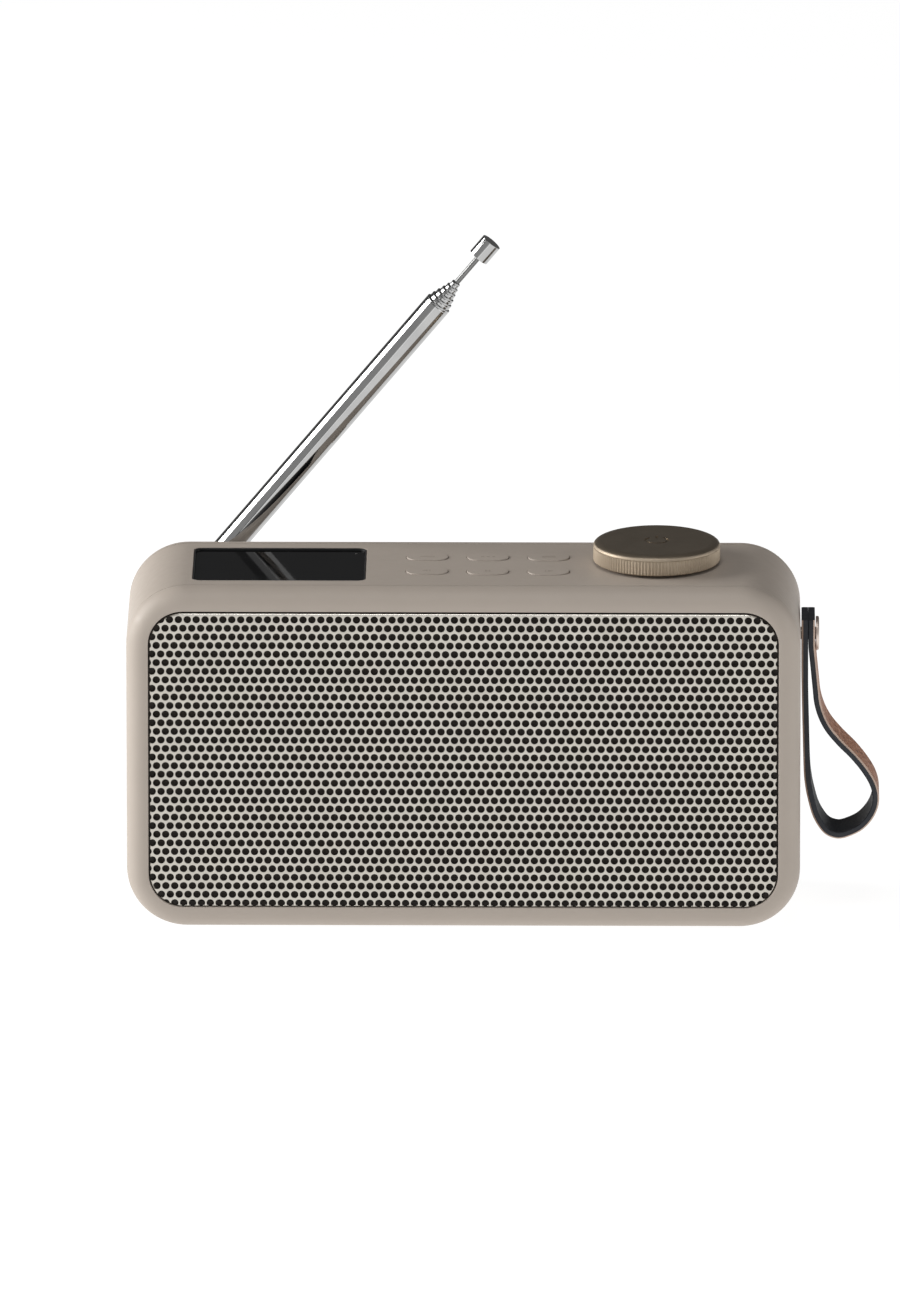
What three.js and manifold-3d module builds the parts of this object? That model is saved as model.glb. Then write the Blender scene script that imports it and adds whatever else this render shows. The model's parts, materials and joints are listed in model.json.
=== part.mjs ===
import * as THREE from 'three';
import { mergeVertices } from 'three/addons/utils/BufferGeometryUtils.js';
import Module from 'manifold-3d';

// A portable radio: a rounded plastic case with a perforated metal front, a display, six keys and
// a large knob on top, a folding telescopic antenna behind, and a leather loop on its right side.
// Millimetres, +Z up, front facing -Y. The origin is on the surface that the radio stands on,
// below the middle of the case.

const wasm = await Module();
wasm.setup();

// ---------------------------------------------------------------- driving dimensions

// Case
const caseWidth = 215.4;
const caseHeight = 112.5;
const caseDepth = 64;
const caseCorner = 19.3;
const edgeRound = 6;
const wall = 2.4;
const coverDepth = 7; // front bezel and rear cover each reach this far to their seam
const seam = 0.3;
const clearance = 0.3;

// Foot
const footLength = 150;
const footWidth = 30;
const footHeight = 1;

// Grille, its cloth and the baffle that carries the loudspeakers
const grilleMargin = 7.85; // from the case's outline to the grille's edge
const grilleCorner = 10.3;
const grilleSheet = 0.8;
const grilleSunk = 0.5;
const bezelInner = 7.05; // inset of the bezel's opening
const ledgeInner = 9.5; // inset of the ledge that the grille's rim rests on
const ledgeThickness = 1.85;
const clothThickness = 0.5;
const baffleThickness = 2.5;

// Loudspeakers
const driverSpacing = 104;
const driverRadius = 28.5;
const driverOpening = 24.5;

// Display, in the top
const windowWidth = 55.2;
const windowDepth = 39;
const windowCorner = 2.6;
const windowThickness = 1.5;
const windowSunk = 0.7;
const windowX = -59;
const gasketWidth = 2.5;
const gasketThickness = 0.5;

// Keys, in two rows of three
const keyLength = 13.4;
const keyWidth = 8.4;
const keyProud = 0.3;
const keyCrown = 0.3;
const keyFlange = 0.8;
const keyColumns = { left: -11.8, middle: 7.6, right: 27 };
const keyRows = { front: -8.45, rear: 8.45 };
const stemRadius = 1.5;
const stemEnd = -7.7; // below the top of the case
const switchSize = 6.2;
const switchTop = -7;
const wellDepth = 1.6;

// Control board, below the top
const boardThickness = 1.6;
const controlBoardTop = -12;

// Knob and its encoder
const knobRadius = 20.3;
const knobHeight = 6.6;
const knobGap = 0.9;
const knobX = 61.6;
const knobY = 2.7;
const shaftRadius = 3;
const encoderSize = 13;
const encoderTop = -5;
const encoderWellRadius = 5;
const encoderWellEnd = -11.3;
const bushRadius = 4.5;

// Antenna: it folds and tilts behind the case
const pivotX = -93.4;
const pivotHeight = 87.3; // above the underside of the case
const antennaStandoff = 5.4; // from the rear face to the tubes' axis
const antennaAngle = THREE.MathUtils.degToRad(50.14);
const tubeRadii = [4.4, 3.8, 3.25, 2.62, 2.05, 1.48];
const tubeStart = 9.8;
const tubeEnd = 132.8;
const tubeStep = 1.75; // each tube shows this much beyond the one around it
const tubeStagger = 1.5; // each tube starts this much further in than the one around it
const slidingGap = 0.15;
const rodRadius = 0.9;
const capStart = 152.4;
const capLength = 6.65;
const capRadius = 3.4;
const discRadius = 6.5;
const earGap = 2.4;
const earThickness = 1.8;
const earRadius = 3.6;
const pinRadius = 1.1;
const tongueRadius = 3.3;
const tongueHalf = 2.1;
const shankRadius = 2.5;

// Antenna rest, moulded on the rear cover
const restX = 10;
const restWidth = 8;
const restLip = 1.2;
const restThickness = 2;

// Strap: a leather band folded in a loop, both ends held by one stud
const studHeight = 90; // above the underside of the case
const strapWidth = 16;
const strapThickness = 2.15;
const strapTop = 6.4; // of the joined ends, above the stud
const strapFork = -5.8; // where the two layers part, just below the stud
const strapSteps = 44;
const studRadius = 5.5;
const studHeadThickness = 1.1;
const studShank = 2;

// Socket panel, a shallow recess in the rear cover
const panelX = 2;
const panelHeight = 21; // above the underside of the case
const panelWidth = 44;
const panelTall = 14;
const panelDeep = 0.8;
const usbX = -8;
const usbWidth = 9.2;
const usbTall = 3.6;
const audioX = 12;
const audioRadius = 3.2;
const plugRadius = 1.8;
const socketLength = 8;

// Screws that hold the rear cover
const screwShank = 1.5;
const screwHead = 2.8;
const screwReach = 10; // from the centre of the case's corner, on its diagonal

// ---------------------------------------------------------------- values worked out from them

const halfHeight = caseHeight / 2;
const halfDepth = caseDepth / 2;
const halfWidth = caseWidth / 2;
const seamLevel = halfDepth - coverDepth;
const right = Math.PI / 2;

// ---------------------------------------------------------------- materials

function finish(color, roughness, metalness) {
  return { color, roughness, metalness };
}

const finishes = {
  casePlastic: finish(0xb3a595, 0.6, 0),
  grilleMetal: finish(0xb9afa2, 0.38, 1),
  blackCloth: finish(0x1c1a18, 0.95, 0),
  blackPlastic: finish(0x232323, 0.5, 0),
  windowGloss: finish(0x0a0a0b, 0.08, 0),
  knobMetal: finish(0x6e6457, 0.35, 1),
  chrome: finish(0xd8dadd, 0.12, 1),
  steel: finish(0xb0aca8, 0.3, 1),
  brass: finish(0xb99a55, 0.35, 1),
  leather: finish(0x7a5238, 0.7, 0),
  rubber: finish(0x2a2a2a, 0.85, 0),
  circuitBoard: finish(0x1f5a36, 0.5, 0),
  paperCone: finish(0x26262a, 0.8, 0),
  magnetSteel: finish(0x6d6f72, 0.45, 1),
  cellWrap: finish(0x2f4f8f, 0.4, 0),
};

// ---------------------------------------------------------------- shape helpers

// The corner points of a rounded rectangle around the middle, anticlockwise.
function roundedRectangle(width, height, radius, cornerSteps) {
  const points = [];
  for (let corner = 0; corner < 4; corner += 1) {
    const sideways = corner === 0 || corner === 3 ? 1 : -1;
    const upwards = corner < 2 ? 1 : -1;
    for (let step = 0; step <= cornerSteps; step += 1) {
      const angle = (corner + step / cornerSteps) * right;
      const x = sideways * (width / 2 - radius) + radius * Math.cos(angle);
      const y = upwards * (height / 2 - radius) + radius * Math.sin(angle);
      points.push(new THREE.Vector2(x, y));
    }
  }
  return points;
}

// One ring of 3-D points for each [inset, level] of a profile around a rounded rectangle. A third
// value sets that ring's own corner radius; otherwise the corners stay concentric.
function ringsAround(width, height, radius, cornerSteps, profile) {
  const sharpest = 0.4;
  return profile.map(([inset, level, ownCorner]) => {
    const corner = ownCorner ?? Math.max(radius - inset, sharpest);
    const outline = roundedRectangle(width - 2 * inset, height - 2 * inset, corner, cornerSteps);
    return outline.map((point) => new THREE.Vector3(point.x, point.y, level));
  });
}

// A skin over a stack of rings that have the same number of points. A capped stack has a flat
// face on its first and last ring; otherwise the last ring joins the first.
function loft(rings, capped) {
  const count = rings[0].length;
  const positions = rings.flat().flatMap((point) => [point.x, point.y, point.z]);
  const index = [];
  const bands = capped ? rings.length - 1 : rings.length;
  for (let band = 0; band < bands; band += 1) {
    const here = band * count;
    const there = ((band + 1) % rings.length) * count;
    for (let side = 0; side < count; side += 1) {
      const next = (side + 1) % count;
      index.push(here + side, here + next, there + next);
      index.push(here + side, there + next, there + side);
    }
  }
  if (capped) {
    const last = (rings.length - 1) * count;
    for (let side = 1; side < count - 1; side += 1) {
      index.push(0, side + 1, side);
      index.push(last, last + side, last + side + 1);
    }
  }
  const geometry = new THREE.BufferGeometry();
  geometry.setAttribute('position', new THREE.Float32BufferAttribute(positions, 3));
  geometry.setIndex(index);
  return geometry;
}

// A straight plate or post with a rounded rectangular outline, from one level to another.
function plate(width, height, radius, from, to, cornerSteps = 4) {
  return loft(ringsAround(width, height, radius, cornerSteps, [[0, from], [0, to]]), true);
}

// Points of a quarter circle in a profile: inset from the outline, and level.
function quarterRound(centreInset, centreLevel, radius, fromAngle, steps) {
  const points = [];
  for (let step = 0; step <= steps; step += 1) {
    const angle = fromAngle + (step / steps) * right;
    points.push([centreInset - radius * Math.cos(angle), centreLevel + radius * Math.sin(angle)]);
  }
  return points;
}

// A cylinder about the local z axis, from one level to another.
function post(radius, from, to, sides = 16) {
  const geometry = new THREE.CylinderGeometry(radius, radius, to - from, sides);
  return geometry.rotateX(right).translate(0, 0, (from + to) / 2);
}

// A solid or ring turned about the local z axis from a profile of [radius, level] points.
function turned(profile, sides = 16) {
  const points = profile.map(([radius, level]) => new THREE.Vector2(radius, level));
  return new THREE.LatheGeometry(points, sides).rotateX(right);
}

// A ring about the local z axis.
function tube(outer, inner, from, to, sides = 16) {
  return turned([[inner, from], [outer, from], [outer, to], [inner, to], [inner, from]], sides);
}

function block(width, height, depth, x, y, z) {
  return new THREE.BoxGeometry(width, height, depth).translate(x, y, z);
}

// ---------------------------------------------------------------- joining and cutting

function toSolid(geometry) {
  const bare = new THREE.BufferGeometry();
  bare.setAttribute('position', geometry.attributes.position.clone());
  bare.setIndex(geometry.index);
  const merged = mergeVertices(bare);
  const vertProperties = Float32Array.from(merged.attributes.position.array);
  const triVerts = Uint32Array.from(merged.index.array);
  return new wasm.Manifold(new wasm.Mesh({ numProp: 3, vertProperties, triVerts }));
}

function toGeometry(solid) {
  const mesh = solid.getMesh();
  const geometry = new THREE.BufferGeometry();
  geometry.setAttribute('position', new THREE.Float32BufferAttribute(mesh.vertProperties, 3));
  geometry.setIndex(Array.from(mesh.triVerts));
  return geometry;
}

function joined(geometries) {
  return toGeometry(geometries.map(toSolid).reduce((whole, next) => whole.add(next)));
}

function cut(geometry, cutters) {
  return toGeometry(cutters.map(toSolid).reduce((rest, next) => rest.subtract(next), toSolid(geometry)));
}

// ---------------------------------------------------------------- scene helpers

function piece(group, name, geometry, look, x = 0, y = 0, z = 0) {
  const mesh = new THREE.Mesh(geometry, new THREE.MeshStandardMaterial(look));
  mesh.name = name;
  mesh.position.set(x, y, z);
  group.add(mesh);
}

// The case group's frame has its middle at the middle of the case: x to the right, y up, and z
// towards the front. This moves a cutter made in the top group's frame into it.
function fromTopToCase(geometry) {
  return geometry.rotateX(-right).translate(0, halfHeight, 0);
}

// ---------------------------------------------------------------- case

const screwPlaces = [];
for (const sideways of [-1, 1]) {
  for (const upwards of [-1, 1]) {
    const diagonal = screwReach * Math.SQRT1_2;
    const x = sideways * (halfWidth - caseCorner + diagonal);
    const y = upwards * (halfHeight - caseCorner + diagonal);
    screwPlaces.push({ x, y, angle: Math.atan2(upwards, sideways) });
  }
}

function frontBezel() {
  const end = seamLevel + seam / 2;
  const ledge = end + ledgeThickness;
  const openingCorner = grilleCorner + grilleMargin - bezelInner;
  const ledgeCorner = openingCorner + bezelInner - ledgeInner;
  const profile = [
    [0, end],
    ...quarterRound(edgeRound, halfDepth - edgeRound, edgeRound, 0, 4),
    [bezelInner, halfDepth, openingCorner],
    [bezelInner, ledge, openingCorner],
    [ledgeInner, ledge, ledgeCorner],
    [ledgeInner, end, ledgeCorner],
  ];
  return loft(ringsAround(caseWidth, caseHeight, caseCorner, 6, profile), false);
}

function keyHole(x, y) {
  const length = keyLength + 2 * clearance;
  const width = keyWidth + 2 * clearance;
  return plate(length, width, width / 2 - 0.1, -wall - 1, 1).translate(x, y, 0);
}

function mainHousing() {
  const end = seamLevel - seam / 2;
  const profile = [[0, -end], [0, end], [wall, end], [wall, -end]];
  const sleeve = loft(ringsAround(caseWidth, caseHeight, caseCorner, 6, profile), false);
  const bossLength = 16;
  const bossRadius = 4;
  const additions = [];
  const cutters = [];
  for (const { x, y, angle } of screwPlaces) {
    const webReach = 5;
    const web = block(6, 2, bossLength, webReach, 0, 0).rotateZ(angle);
    additions.push(post(bossRadius, -end, -end + bossLength, 12).translate(x, y, 0));
    additions.push(web.translate(x, y, -end + bossLength / 2));
    cutters.push(post(screwShank + clearance, -end - 1, -end + bossLength - 2, 12).translate(x, y, 0));
  }
  const windowHole = plate(
    windowWidth + 2 * clearance,
    windowDepth + 2 * clearance,
    windowCorner + clearance,
    -wall - 1,
    1,
  );
  cutters.push(fromTopToCase(windowHole.translate(windowX, 0, 0)));
  for (const x of Object.values(keyColumns)) {
    for (const y of Object.values(keyRows)) {
      cutters.push(fromTopToCase(keyHole(x, y)));
    }
  }
  const bushHole = post(bushRadius + clearance, -wall - 1, 1, 16).translate(knobX, knobY, 0);
  cutters.push(fromTopToCase(bushHole));
  const studHole = post(studShank + clearance, -wall - 1, 1, 12).rotateY(right);
  cutters.push(studHole.translate(halfWidth, studHeight - halfHeight, 0));
  return cut(joined([sleeve, ...additions]), cutters);
}

function rearCover() {
  const back = -halfDepth;
  const end = -seamLevel - seam / 2;
  const inside = back + wall;
  const outerRound = quarterRound(edgeRound, back + edgeRound, edgeRound, -right, 4);
  const innerRound = quarterRound(edgeRound, back + edgeRound, edgeRound - wall, -right, 4);
  const profile = [...outerRound, [0, end], [wall, end], ...innerRound.reverse()];
  const shell = loft(ringsAround(caseWidth, caseHeight, caseCorner, 6, profile), true);

  const panelY = panelHeight - halfHeight;
  const usbHole = [usbWidth + 2 * clearance, usbTall + 2 * clearance, 1.8, back - 1, inside + 1];
  const additions = [];
  const cutters = [
    plate(panelWidth, panelTall, 2.5, back - 1, back + panelDeep).translate(panelX, panelY, 0),
    plate(...usbHole).translate(usbX, panelY, 0),
    post(audioRadius + clearance, back - 1, inside + 1).translate(audioX, panelY, 0),
  ];
  for (const { x, y } of screwPlaces) {
    additions.push(post(screwHead + 1.6, inside - 0.5, end, 12).translate(x, y, 0));
    cutters.push(post(screwHead + clearance, back - 1, back + 2.6, 12).translate(x, y, 0));
    cutters.push(post(screwShank + clearance, back, end + 1, 12).translate(x, y, 0));
  }

  const pivotY = pivotHeight - halfHeight;
  const restFloor = pivotY - tubeRadii[0] - clearance;
  const restReach = antennaStandoff + tubeRadii[0] + clearance + restThickness;
  const floorBlock = block(restWidth, restThickness, restReach + 0.5, restX, 0, 0);
  floorBlock.translate(0, restFloor - restThickness / 2, back - restReach / 2 + 0.25);
  const lipBlock = block(restWidth, restThickness + restLip, restThickness, restX, 0, 0);
  lipBlock.translate(0, restFloor + (restLip - restThickness) / 2, back - restReach + restThickness / 2);
  additions.push(floorBlock, lipBlock);
  cutters.push(post(shankRadius + clearance, back - 1, inside + 1).translate(pivotX, pivotY, 0));
  return cut(joined([shell, ...additions]), cutters);
}

function speakerGrille() {
  const width = caseWidth - 2 * grilleMargin;
  const height = caseHeight - 2 * grilleMargin;
  const front = halfDepth - grilleSunk;
  const rim = seamLevel + seam / 2 + ledgeThickness + clearance;
  const fold = 0.6;
  const profile = [
    [grilleSheet, front - grilleSheet],
    [grilleSheet, rim],
    [0, rim],
    [0, front - fold],
    [fold, front],
  ];
  return loft(ringsAround(width, height, grilleCorner, 6, profile), true);
}

function grilleCloth() {
  const inset = grilleMargin + grilleSheet + clearance;
  const front = halfDepth - grilleSunk - grilleSheet - 0.2;
  const corner = grilleCorner - grilleSheet - clearance;
  return plate(caseWidth - 2 * inset, caseHeight - 2 * inset, corner, front - clothThickness, front);
}

function speakerBaffle() {
  const inset = wall + 0.5;
  const front = seamLevel - 0.5;
  const width = caseWidth - 2 * inset;
  const height = caseHeight - 2 * inset;
  const board = plate(width, height, caseCorner - inset, front - baffleThickness, front, 5);
  const openings = [-1, 1].map((side) => {
    const opening = post(driverOpening, front - baffleThickness - 1, front + 1, 24);
    return opening.translate(side * driverSpacing / 2, 0, 0);
  });
  return cut(board, openings);
}

function coverScrew() {
  const head = -halfDepth + 0.4;
  const neck = -halfDepth + 2.4;
  const tip = -halfDepth + 18;
  const profile = [[0, head], [screwHead, head], [screwHead, neck], [screwShank, neck], [screwShank, tip]];
  return turned([...profile, [0, tip + 1]], 12);
}

function addCase(group) {
  piece(group, 'front_bezel', frontBezel(), finishes.casePlastic);
  piece(group, 'main_housing', mainHousing(), finishes.casePlastic);
  piece(group, 'rear_cover', rearCover(), finishes.casePlastic);
  piece(group, 'speaker_grille', speakerGrille(), finishes.grilleMetal);
  piece(group, 'grille_cloth', grilleCloth(), finishes.blackCloth);
  piece(group, 'speaker_baffle', speakerBaffle(), finishes.blackPlastic);
  screwPlaces.forEach(({ x, y }, number) => {
    piece(group, `cover_screw_${number + 1}`, coverScrew(), finishes.steel, x, y, 0);
  });
}

// ---------------------------------------------------------------- loudspeakers

const basketDepth = 13;

function driverFrame() {
  const throat = 9;
  return turned([
    [driverOpening, 0],
    [driverOpening, -2],
    [15, -basketDepth + 1],
    [throat, -basketDepth + 1],
    [throat, -basketDepth],
    [16, -basketDepth],
    [26, -2],
    [driverRadius, -1.5],
    [driverRadius, 0],
    [driverOpening, 0],
  ], 20);
}

function driverCone() {
  return turned([
    [0, -11.5],
    [7.5, -11.5],
    [7.5, -8.6],
    [20.4, -2.2],
    [23.6, -1.6],
    [24, -1.2],
    [23, -0.2],
    [21.5, -0.2],
    [20, -1.4],
    [7.5, -7.2],
    [5, -5.6],
    [0, -5.2],
  ], 20);
}

function addLoudspeakers(group) {
  const back = seamLevel - 0.5 - baffleThickness - 0.1;
  const magnet = turned([[0, -22], [15, -22], [15, -basketDepth - 0.3], [0, -basketDepth - 0.3]], 20);
  for (const [side, x] of [['left', -driverSpacing / 2], ['right', driverSpacing / 2]]) {
    piece(group, `${side}_driver_frame`, driverFrame(), finishes.steel, x, 0, back);
    piece(group, `${side}_driver_cone`, driverCone(), finishes.paperCone, x, 0, back);
    piece(group, `${side}_driver_magnet`, magnet.clone(), finishes.magnetSteel, x, 0, back);
  }
}

// ---------------------------------------------------------------- electronics inside the case

const socketMouth = -halfDepth + panelDeep + 0.1;
const socketBack = socketMouth + socketLength;

function usbSocket() {
  const shell = plate(usbWidth, usbTall, 1.5, socketMouth, socketBack, 3);
  return cut(shell, [plate(usbWidth - 0.8, usbTall - 0.8, 1.1, socketMouth - 1, socketBack - 1.5, 3)]);
}

function audioSocket() {
  return turned([
    [0, socketBack - 1],
    [plugRadius, socketBack - 1],
    [plugRadius, socketMouth],
    [audioRadius, socketMouth],
    [audioRadius, socketBack],
    [0, socketBack],
  ], 14);
}

function addElectronics(group) {
  const panelY = panelHeight - halfHeight;
  const boardMiddle = socketBack + 0.1 + boardThickness / 2;
  const cellRadius = 9.2;
  const pack = plate(4 * cellRadius, 2 * cellRadius, cellRadius - 0.1, -35, 35).rotateY(right);
  piece(group, 'main_board', block(110, 70, boardThickness, 0, -10, boardMiddle), finishes.circuitBoard);
  piece(group, 'usb_socket', usbSocket(), finishes.steel, usbX, panelY, 0);
  piece(group, 'audio_socket', audioSocket(), finishes.blackPlastic, audioX, panelY, 0);
  piece(group, 'battery_pack', pack, finishes.cellWrap, 0, -halfHeight + 14, 2);
}

// ---------------------------------------------------------------- controls in the top

function keyCap() {
  const flangeTop = -wall - clearance;
  const flangeEnd = flangeTop - 0.8;
  const profile = [
    [-keyFlange, flangeEnd],
    [-keyFlange, flangeTop],
    [0, flangeTop],
    [0, keyProud - keyCrown],
    [keyCrown, keyProud],
  ];
  const cap = loft(ringsAround(keyLength, keyWidth, keyWidth / 2 - 0.1, 4, profile), true);
  return joined([cap, post(stemRadius, stemEnd, flangeEnd + 0.2, 8)]);
}

function keySwitch() {
  const foot = controlBoardTop + 0.1;
  const housing = block(switchSize, switchSize, switchTop - foot, 0, 0, (switchTop + foot) / 2);
  return cut(housing, [post(stemRadius + clearance, switchTop - wellDepth, switchTop + 1, 8)]);
}

function addKeys(group) {
  for (const [row, y] of Object.entries(keyRows)) {
    for (const [column, x] of Object.entries(keyColumns)) {
      piece(group, `key_${row}_${column}`, keyCap(), finishes.casePlastic, x, y, 0);
      piece(group, `switch_${row}_${column}`, keySwitch(), finishes.blackPlastic, x, y, 0);
    }
  }
}

function addDisplay(group) {
  const windowBack = -windowSunk - windowThickness;
  const gasketBack = windowBack - gasketThickness - 0.1;
  const glass = plate(windowWidth, windowDepth, windowCorner, windowBack, -windowSunk);
  const gasketProfile = [
    [0, gasketBack],
    [0, windowBack - 0.1],
    [gasketWidth, windowBack - 0.1],
    [gasketWidth, gasketBack],
  ];
  const gasket = loft(ringsAround(windowWidth, windowDepth, windowCorner, 3, gasketProfile), false);
  const moduleTop = gasketBack - 0.1;
  const moduleFoot = controlBoardTop + 0.1;
  const screen = plate(windowWidth - 1, windowDepth - 1, 1.5, moduleFoot, moduleTop, 2);
  piece(group, 'display_window', glass, finishes.windowGloss, windowX, 0, 0);
  piece(group, 'display_gasket', gasket, finishes.rubber, windowX, 0, 0);
  piece(group, 'display_module', screen, finishes.blackPlastic, windowX, 0, 0);
}

function knobBody() {
  const foot = knobGap;
  const top = knobGap + knobHeight;
  const bore = shaftRadius + clearance;
  return turned([
    [0, foot + 5],
    [bore, foot + 5],
    [bore, foot],
    [knobRadius - 0.7, foot],
    [knobRadius, foot + 0.5],
    [knobRadius, top - 1.3],
    [knobRadius - 0.4, top - 0.4],
    [knobRadius - 1.4, top],
    [0, top],
  ], 36);
}

function addKnob(group) {
  const shaft = post(shaftRadius, encoderWellEnd + 0.9, knobGap + 4.7, 12);
  const foot = controlBoardTop + 0.1;
  const box = block(encoderSize, encoderSize, encoderTop - foot, 0, 0, (encoderTop + foot) / 2);
  const housing = cut(box, [post(encoderWellRadius, encoderWellEnd, encoderTop + 1, 16)]);
  const bore = shaftRadius + clearance;
  const rotor = tube(encoderWellRadius - clearance, bore, encoderWellEnd + 0.4, encoderTop - 1, 16);
  const bush = tube(bushRadius, bore, encoderTop + clearance, -0.2, 16);
  piece(group, 'knob', knobBody(), finishes.knobMetal, knobX, knobY, 0);
  piece(group, 'knob_shaft', shaft, finishes.steel, knobX, knobY, 0);
  piece(group, 'encoder_rotor', rotor, finishes.blackPlastic, knobX, knobY, 0);
  piece(group, 'encoder_housing', housing, finishes.blackPlastic, knobX, knobY, 0);
  piece(group, 'encoder_bush', bush, finishes.brass, knobX, knobY, 0);
}

function addControls(group) {
  const board = block(176, 44, boardThickness, -2, 0, controlBoardTop - boardThickness / 2);
  piece(group, 'control_board', board, finishes.circuitBoard);
  addDisplay(group);
  addKeys(group);
  addKnob(group);
}

// ---------------------------------------------------------------- antenna

// The antenna group's frame has its middle on the tilt pin: x along the tubes, y away from the
// case, and z along the pin.
function alongTubes(geometry) {
  return geometry.rotateY(right);
}

function awayFromCase(geometry) {
  return geometry.rotateX(-right);
}

function earShape() {
  const shape = new THREE.Shape();
  const foot = -antennaStandoff + clearance + 0.9;
  shape.moveTo(earRadius, foot);
  shape.absarc(0, 0, earRadius, 0, Math.PI, false);
  shape.lineTo(-earRadius, foot);
  const hole = new THREE.Path();
  hole.absarc(0, 0, pinRadius + clearance, 0, 2 * Math.PI, true);
  shape.holes.push(hole);
  return shape;
}

function antennaSwivel() {
  const seat = -antennaStandoff + clearance;
  const shankEnd = -antennaStandoff - wall - 2;
  const flat = { depth: earThickness, bevelEnabled: false, curveSegments: 6 };
  const ears = [earGap, -earGap - earThickness].map((z) => {
    return new THREE.ExtrudeGeometry(earShape(), flat).translate(0, 0, z);
  });
  const disc = awayFromCase(post(discRadius, seat, seat + 1, 20));
  const shank = awayFromCase(post(shankRadius, shankEnd, seat + 0.3, 12));
  return joined([disc, shank, ...ears]);
}

function antennaRoot() {
  const shape = new THREE.Shape();
  const reach = 7.5;
  shape.moveTo(reach, tongueRadius);
  shape.absarc(0, 0, tongueRadius, right, 3 * right, false);
  shape.lineTo(reach, -tongueRadius);
  const hole = new THREE.Path();
  hole.absarc(0, 0, pinRadius + clearance, 0, 2 * Math.PI, true);
  shape.holes.push(hole);
  const flat = { depth: 2 * tongueHalf, bevelEnabled: false, curveSegments: 6 };
  const tongue = new THREE.ExtrudeGeometry(shape, flat).translate(0, 0, -tongueHalf);
  return joined([tongue, alongTubes(post(tubeRadii[0], 7.2, tubeStart - clearance, 12))]);
}

function antennaTube(number) {
  const outer = tubeRadii[number];
  const within = number + 1 < tubeRadii.length ? tubeRadii[number + 1] : rodRadius;
  const from = tubeStart + number * tubeStagger;
  return alongTubes(tube(outer, within + slidingGap, from, tubeEnd + number * tubeStep, 12));
}

function antennaCap() {
  const bore = rodRadius + clearance;
  const end = capStart + capLength;
  return alongTubes(turned([
    [0, capStart + 3.2],
    [bore, capStart + 3.2],
    [bore, capStart],
    [capRadius - 0.3, capStart],
    [capRadius, capStart + 0.3],
    [capRadius, end - 0.3],
    [capRadius - 0.3, end],
    [0, end],
  ], 14));
}

function addAntenna(group) {
  const pin = post(pinRadius, -earGap - earThickness - 0.4, earGap + earThickness + 0.4, 10);
  const inside = -antennaStandoff - wall;
  const retainer = awayFromCase(tube(5, shankRadius + clearance, inside - 1.3, inside - 0.3, 12));
  const rodStart = tubeStart + tubeRadii.length * tubeStagger;
  const rod = alongTubes(post(rodRadius, rodStart, capStart + 2.9, 12));
  piece(group, 'antenna_swivel', antennaSwivel(), finishes.steel);
  piece(group, 'antenna_retainer', retainer, finishes.steel);
  piece(group, 'antenna_pin', pin, finishes.steel);
  piece(group, 'antenna_root', antennaRoot(), finishes.chrome);
  tubeRadii.forEach((radius, number) => {
    piece(group, `antenna_tube_${number + 1}`, antennaTube(number), finishes.chrome);
  });
  piece(group, 'antenna_rod', rod, finishes.chrome);
  piece(group, 'antenna_cap', antennaCap(), finishes.chrome);
}

// ---------------------------------------------------------------- strap

// The strap group's frame has its middle where the stud meets the right-hand wall: x away from
// the wall, y up, and z towards the front. The middle line of the loop's one band runs down
// beside the wall, round the bottom and back up to the stud.
const innerLayer = clearance + strapThickness / 2;
const outerLayer = innerLayer + strapThickness;
const strapLine = new THREE.SplineCurve([
  new THREE.Vector2(innerLayer, strapFork),
  new THREE.Vector2(1.5, -17),
  new THREE.Vector2(1.8, -31),
  new THREE.Vector2(2.5, -46),
  new THREE.Vector2(4.6, -57),
  new THREE.Vector2(8, -63.2),
  new THREE.Vector2(12.6, -65.3),
  new THREE.Vector2(18.6, -63),
  new THREE.Vector2(23.2, -58),
  new THREE.Vector2(24.2, -51.5),
  new THREE.Vector2(21.7, -45),
  new THREE.Vector2(15.6, -37.4),
  new THREE.Vector2(9.6, -30.6),
  new THREE.Vector2(6.2, -24),
  new THREE.Vector2(4.9, -15.5),
  new THREE.Vector2(outerLayer + clearance, strapFork),
]);

function strapSide(offset) {
  const points = [];
  for (let step = 0; step <= strapSteps; step += 1) {
    const along = strapLine.getPointAt(step / strapSteps);
    const tangent = strapLine.getTangentAt(step / strapSteps);
    points.push(new THREE.Vector2(along.x - tangent.y * offset, along.y + tangent.x * offset));
  }
  return points;
}

function strapBand() {
  const outside = strapSide(-strapThickness / 2);
  const shape = new THREE.Shape();
  shape.moveTo(clearance, strapTop);
  outside.forEach((point) => shape.lineTo(point.x, point.y));
  shape.lineTo(outerLayer + strapThickness / 2, 0);
  shape.lineTo(outerLayer + strapThickness / 2, strapTop);
  const opening = new THREE.Path(strapSide(strapThickness / 2));
  shape.holes.push(opening);
  const flat = { depth: strapWidth, bevelEnabled: false };
  const band = new THREE.ExtrudeGeometry(shape, flat).translate(0, 0, -strapWidth / 2);
  return cut(band, [post(studShank + 0.4, -2, 8, 12).rotateY(right)]);
}

function addStrap(group) {
  const headFoot = outerLayer + strapThickness / 2 + clearance;
  const headTop = headFoot + studHeadThickness;
  const stud = turned([
    [0, -8],
    [studShank, -8],
    [studShank, headFoot],
    [studRadius, headFoot],
    [studRadius, headTop - 0.5],
    [studRadius - 0.8, headTop],
    [0, headTop],
  ], 20).rotateY(right);
  const nut = tube(4.2, studShank + clearance, -wall - clearance - 3, -wall - clearance, 6);
  piece(group, 'strap', strapBand(), finishes.leather);
  piece(group, 'strap_stud', stud, finishes.steel);
  piece(group, 'strap_nut', nut.rotateY(right), finishes.brass);
}

// ---------------------------------------------------------------- the whole radio

const radio = new THREE.Group();

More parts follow.
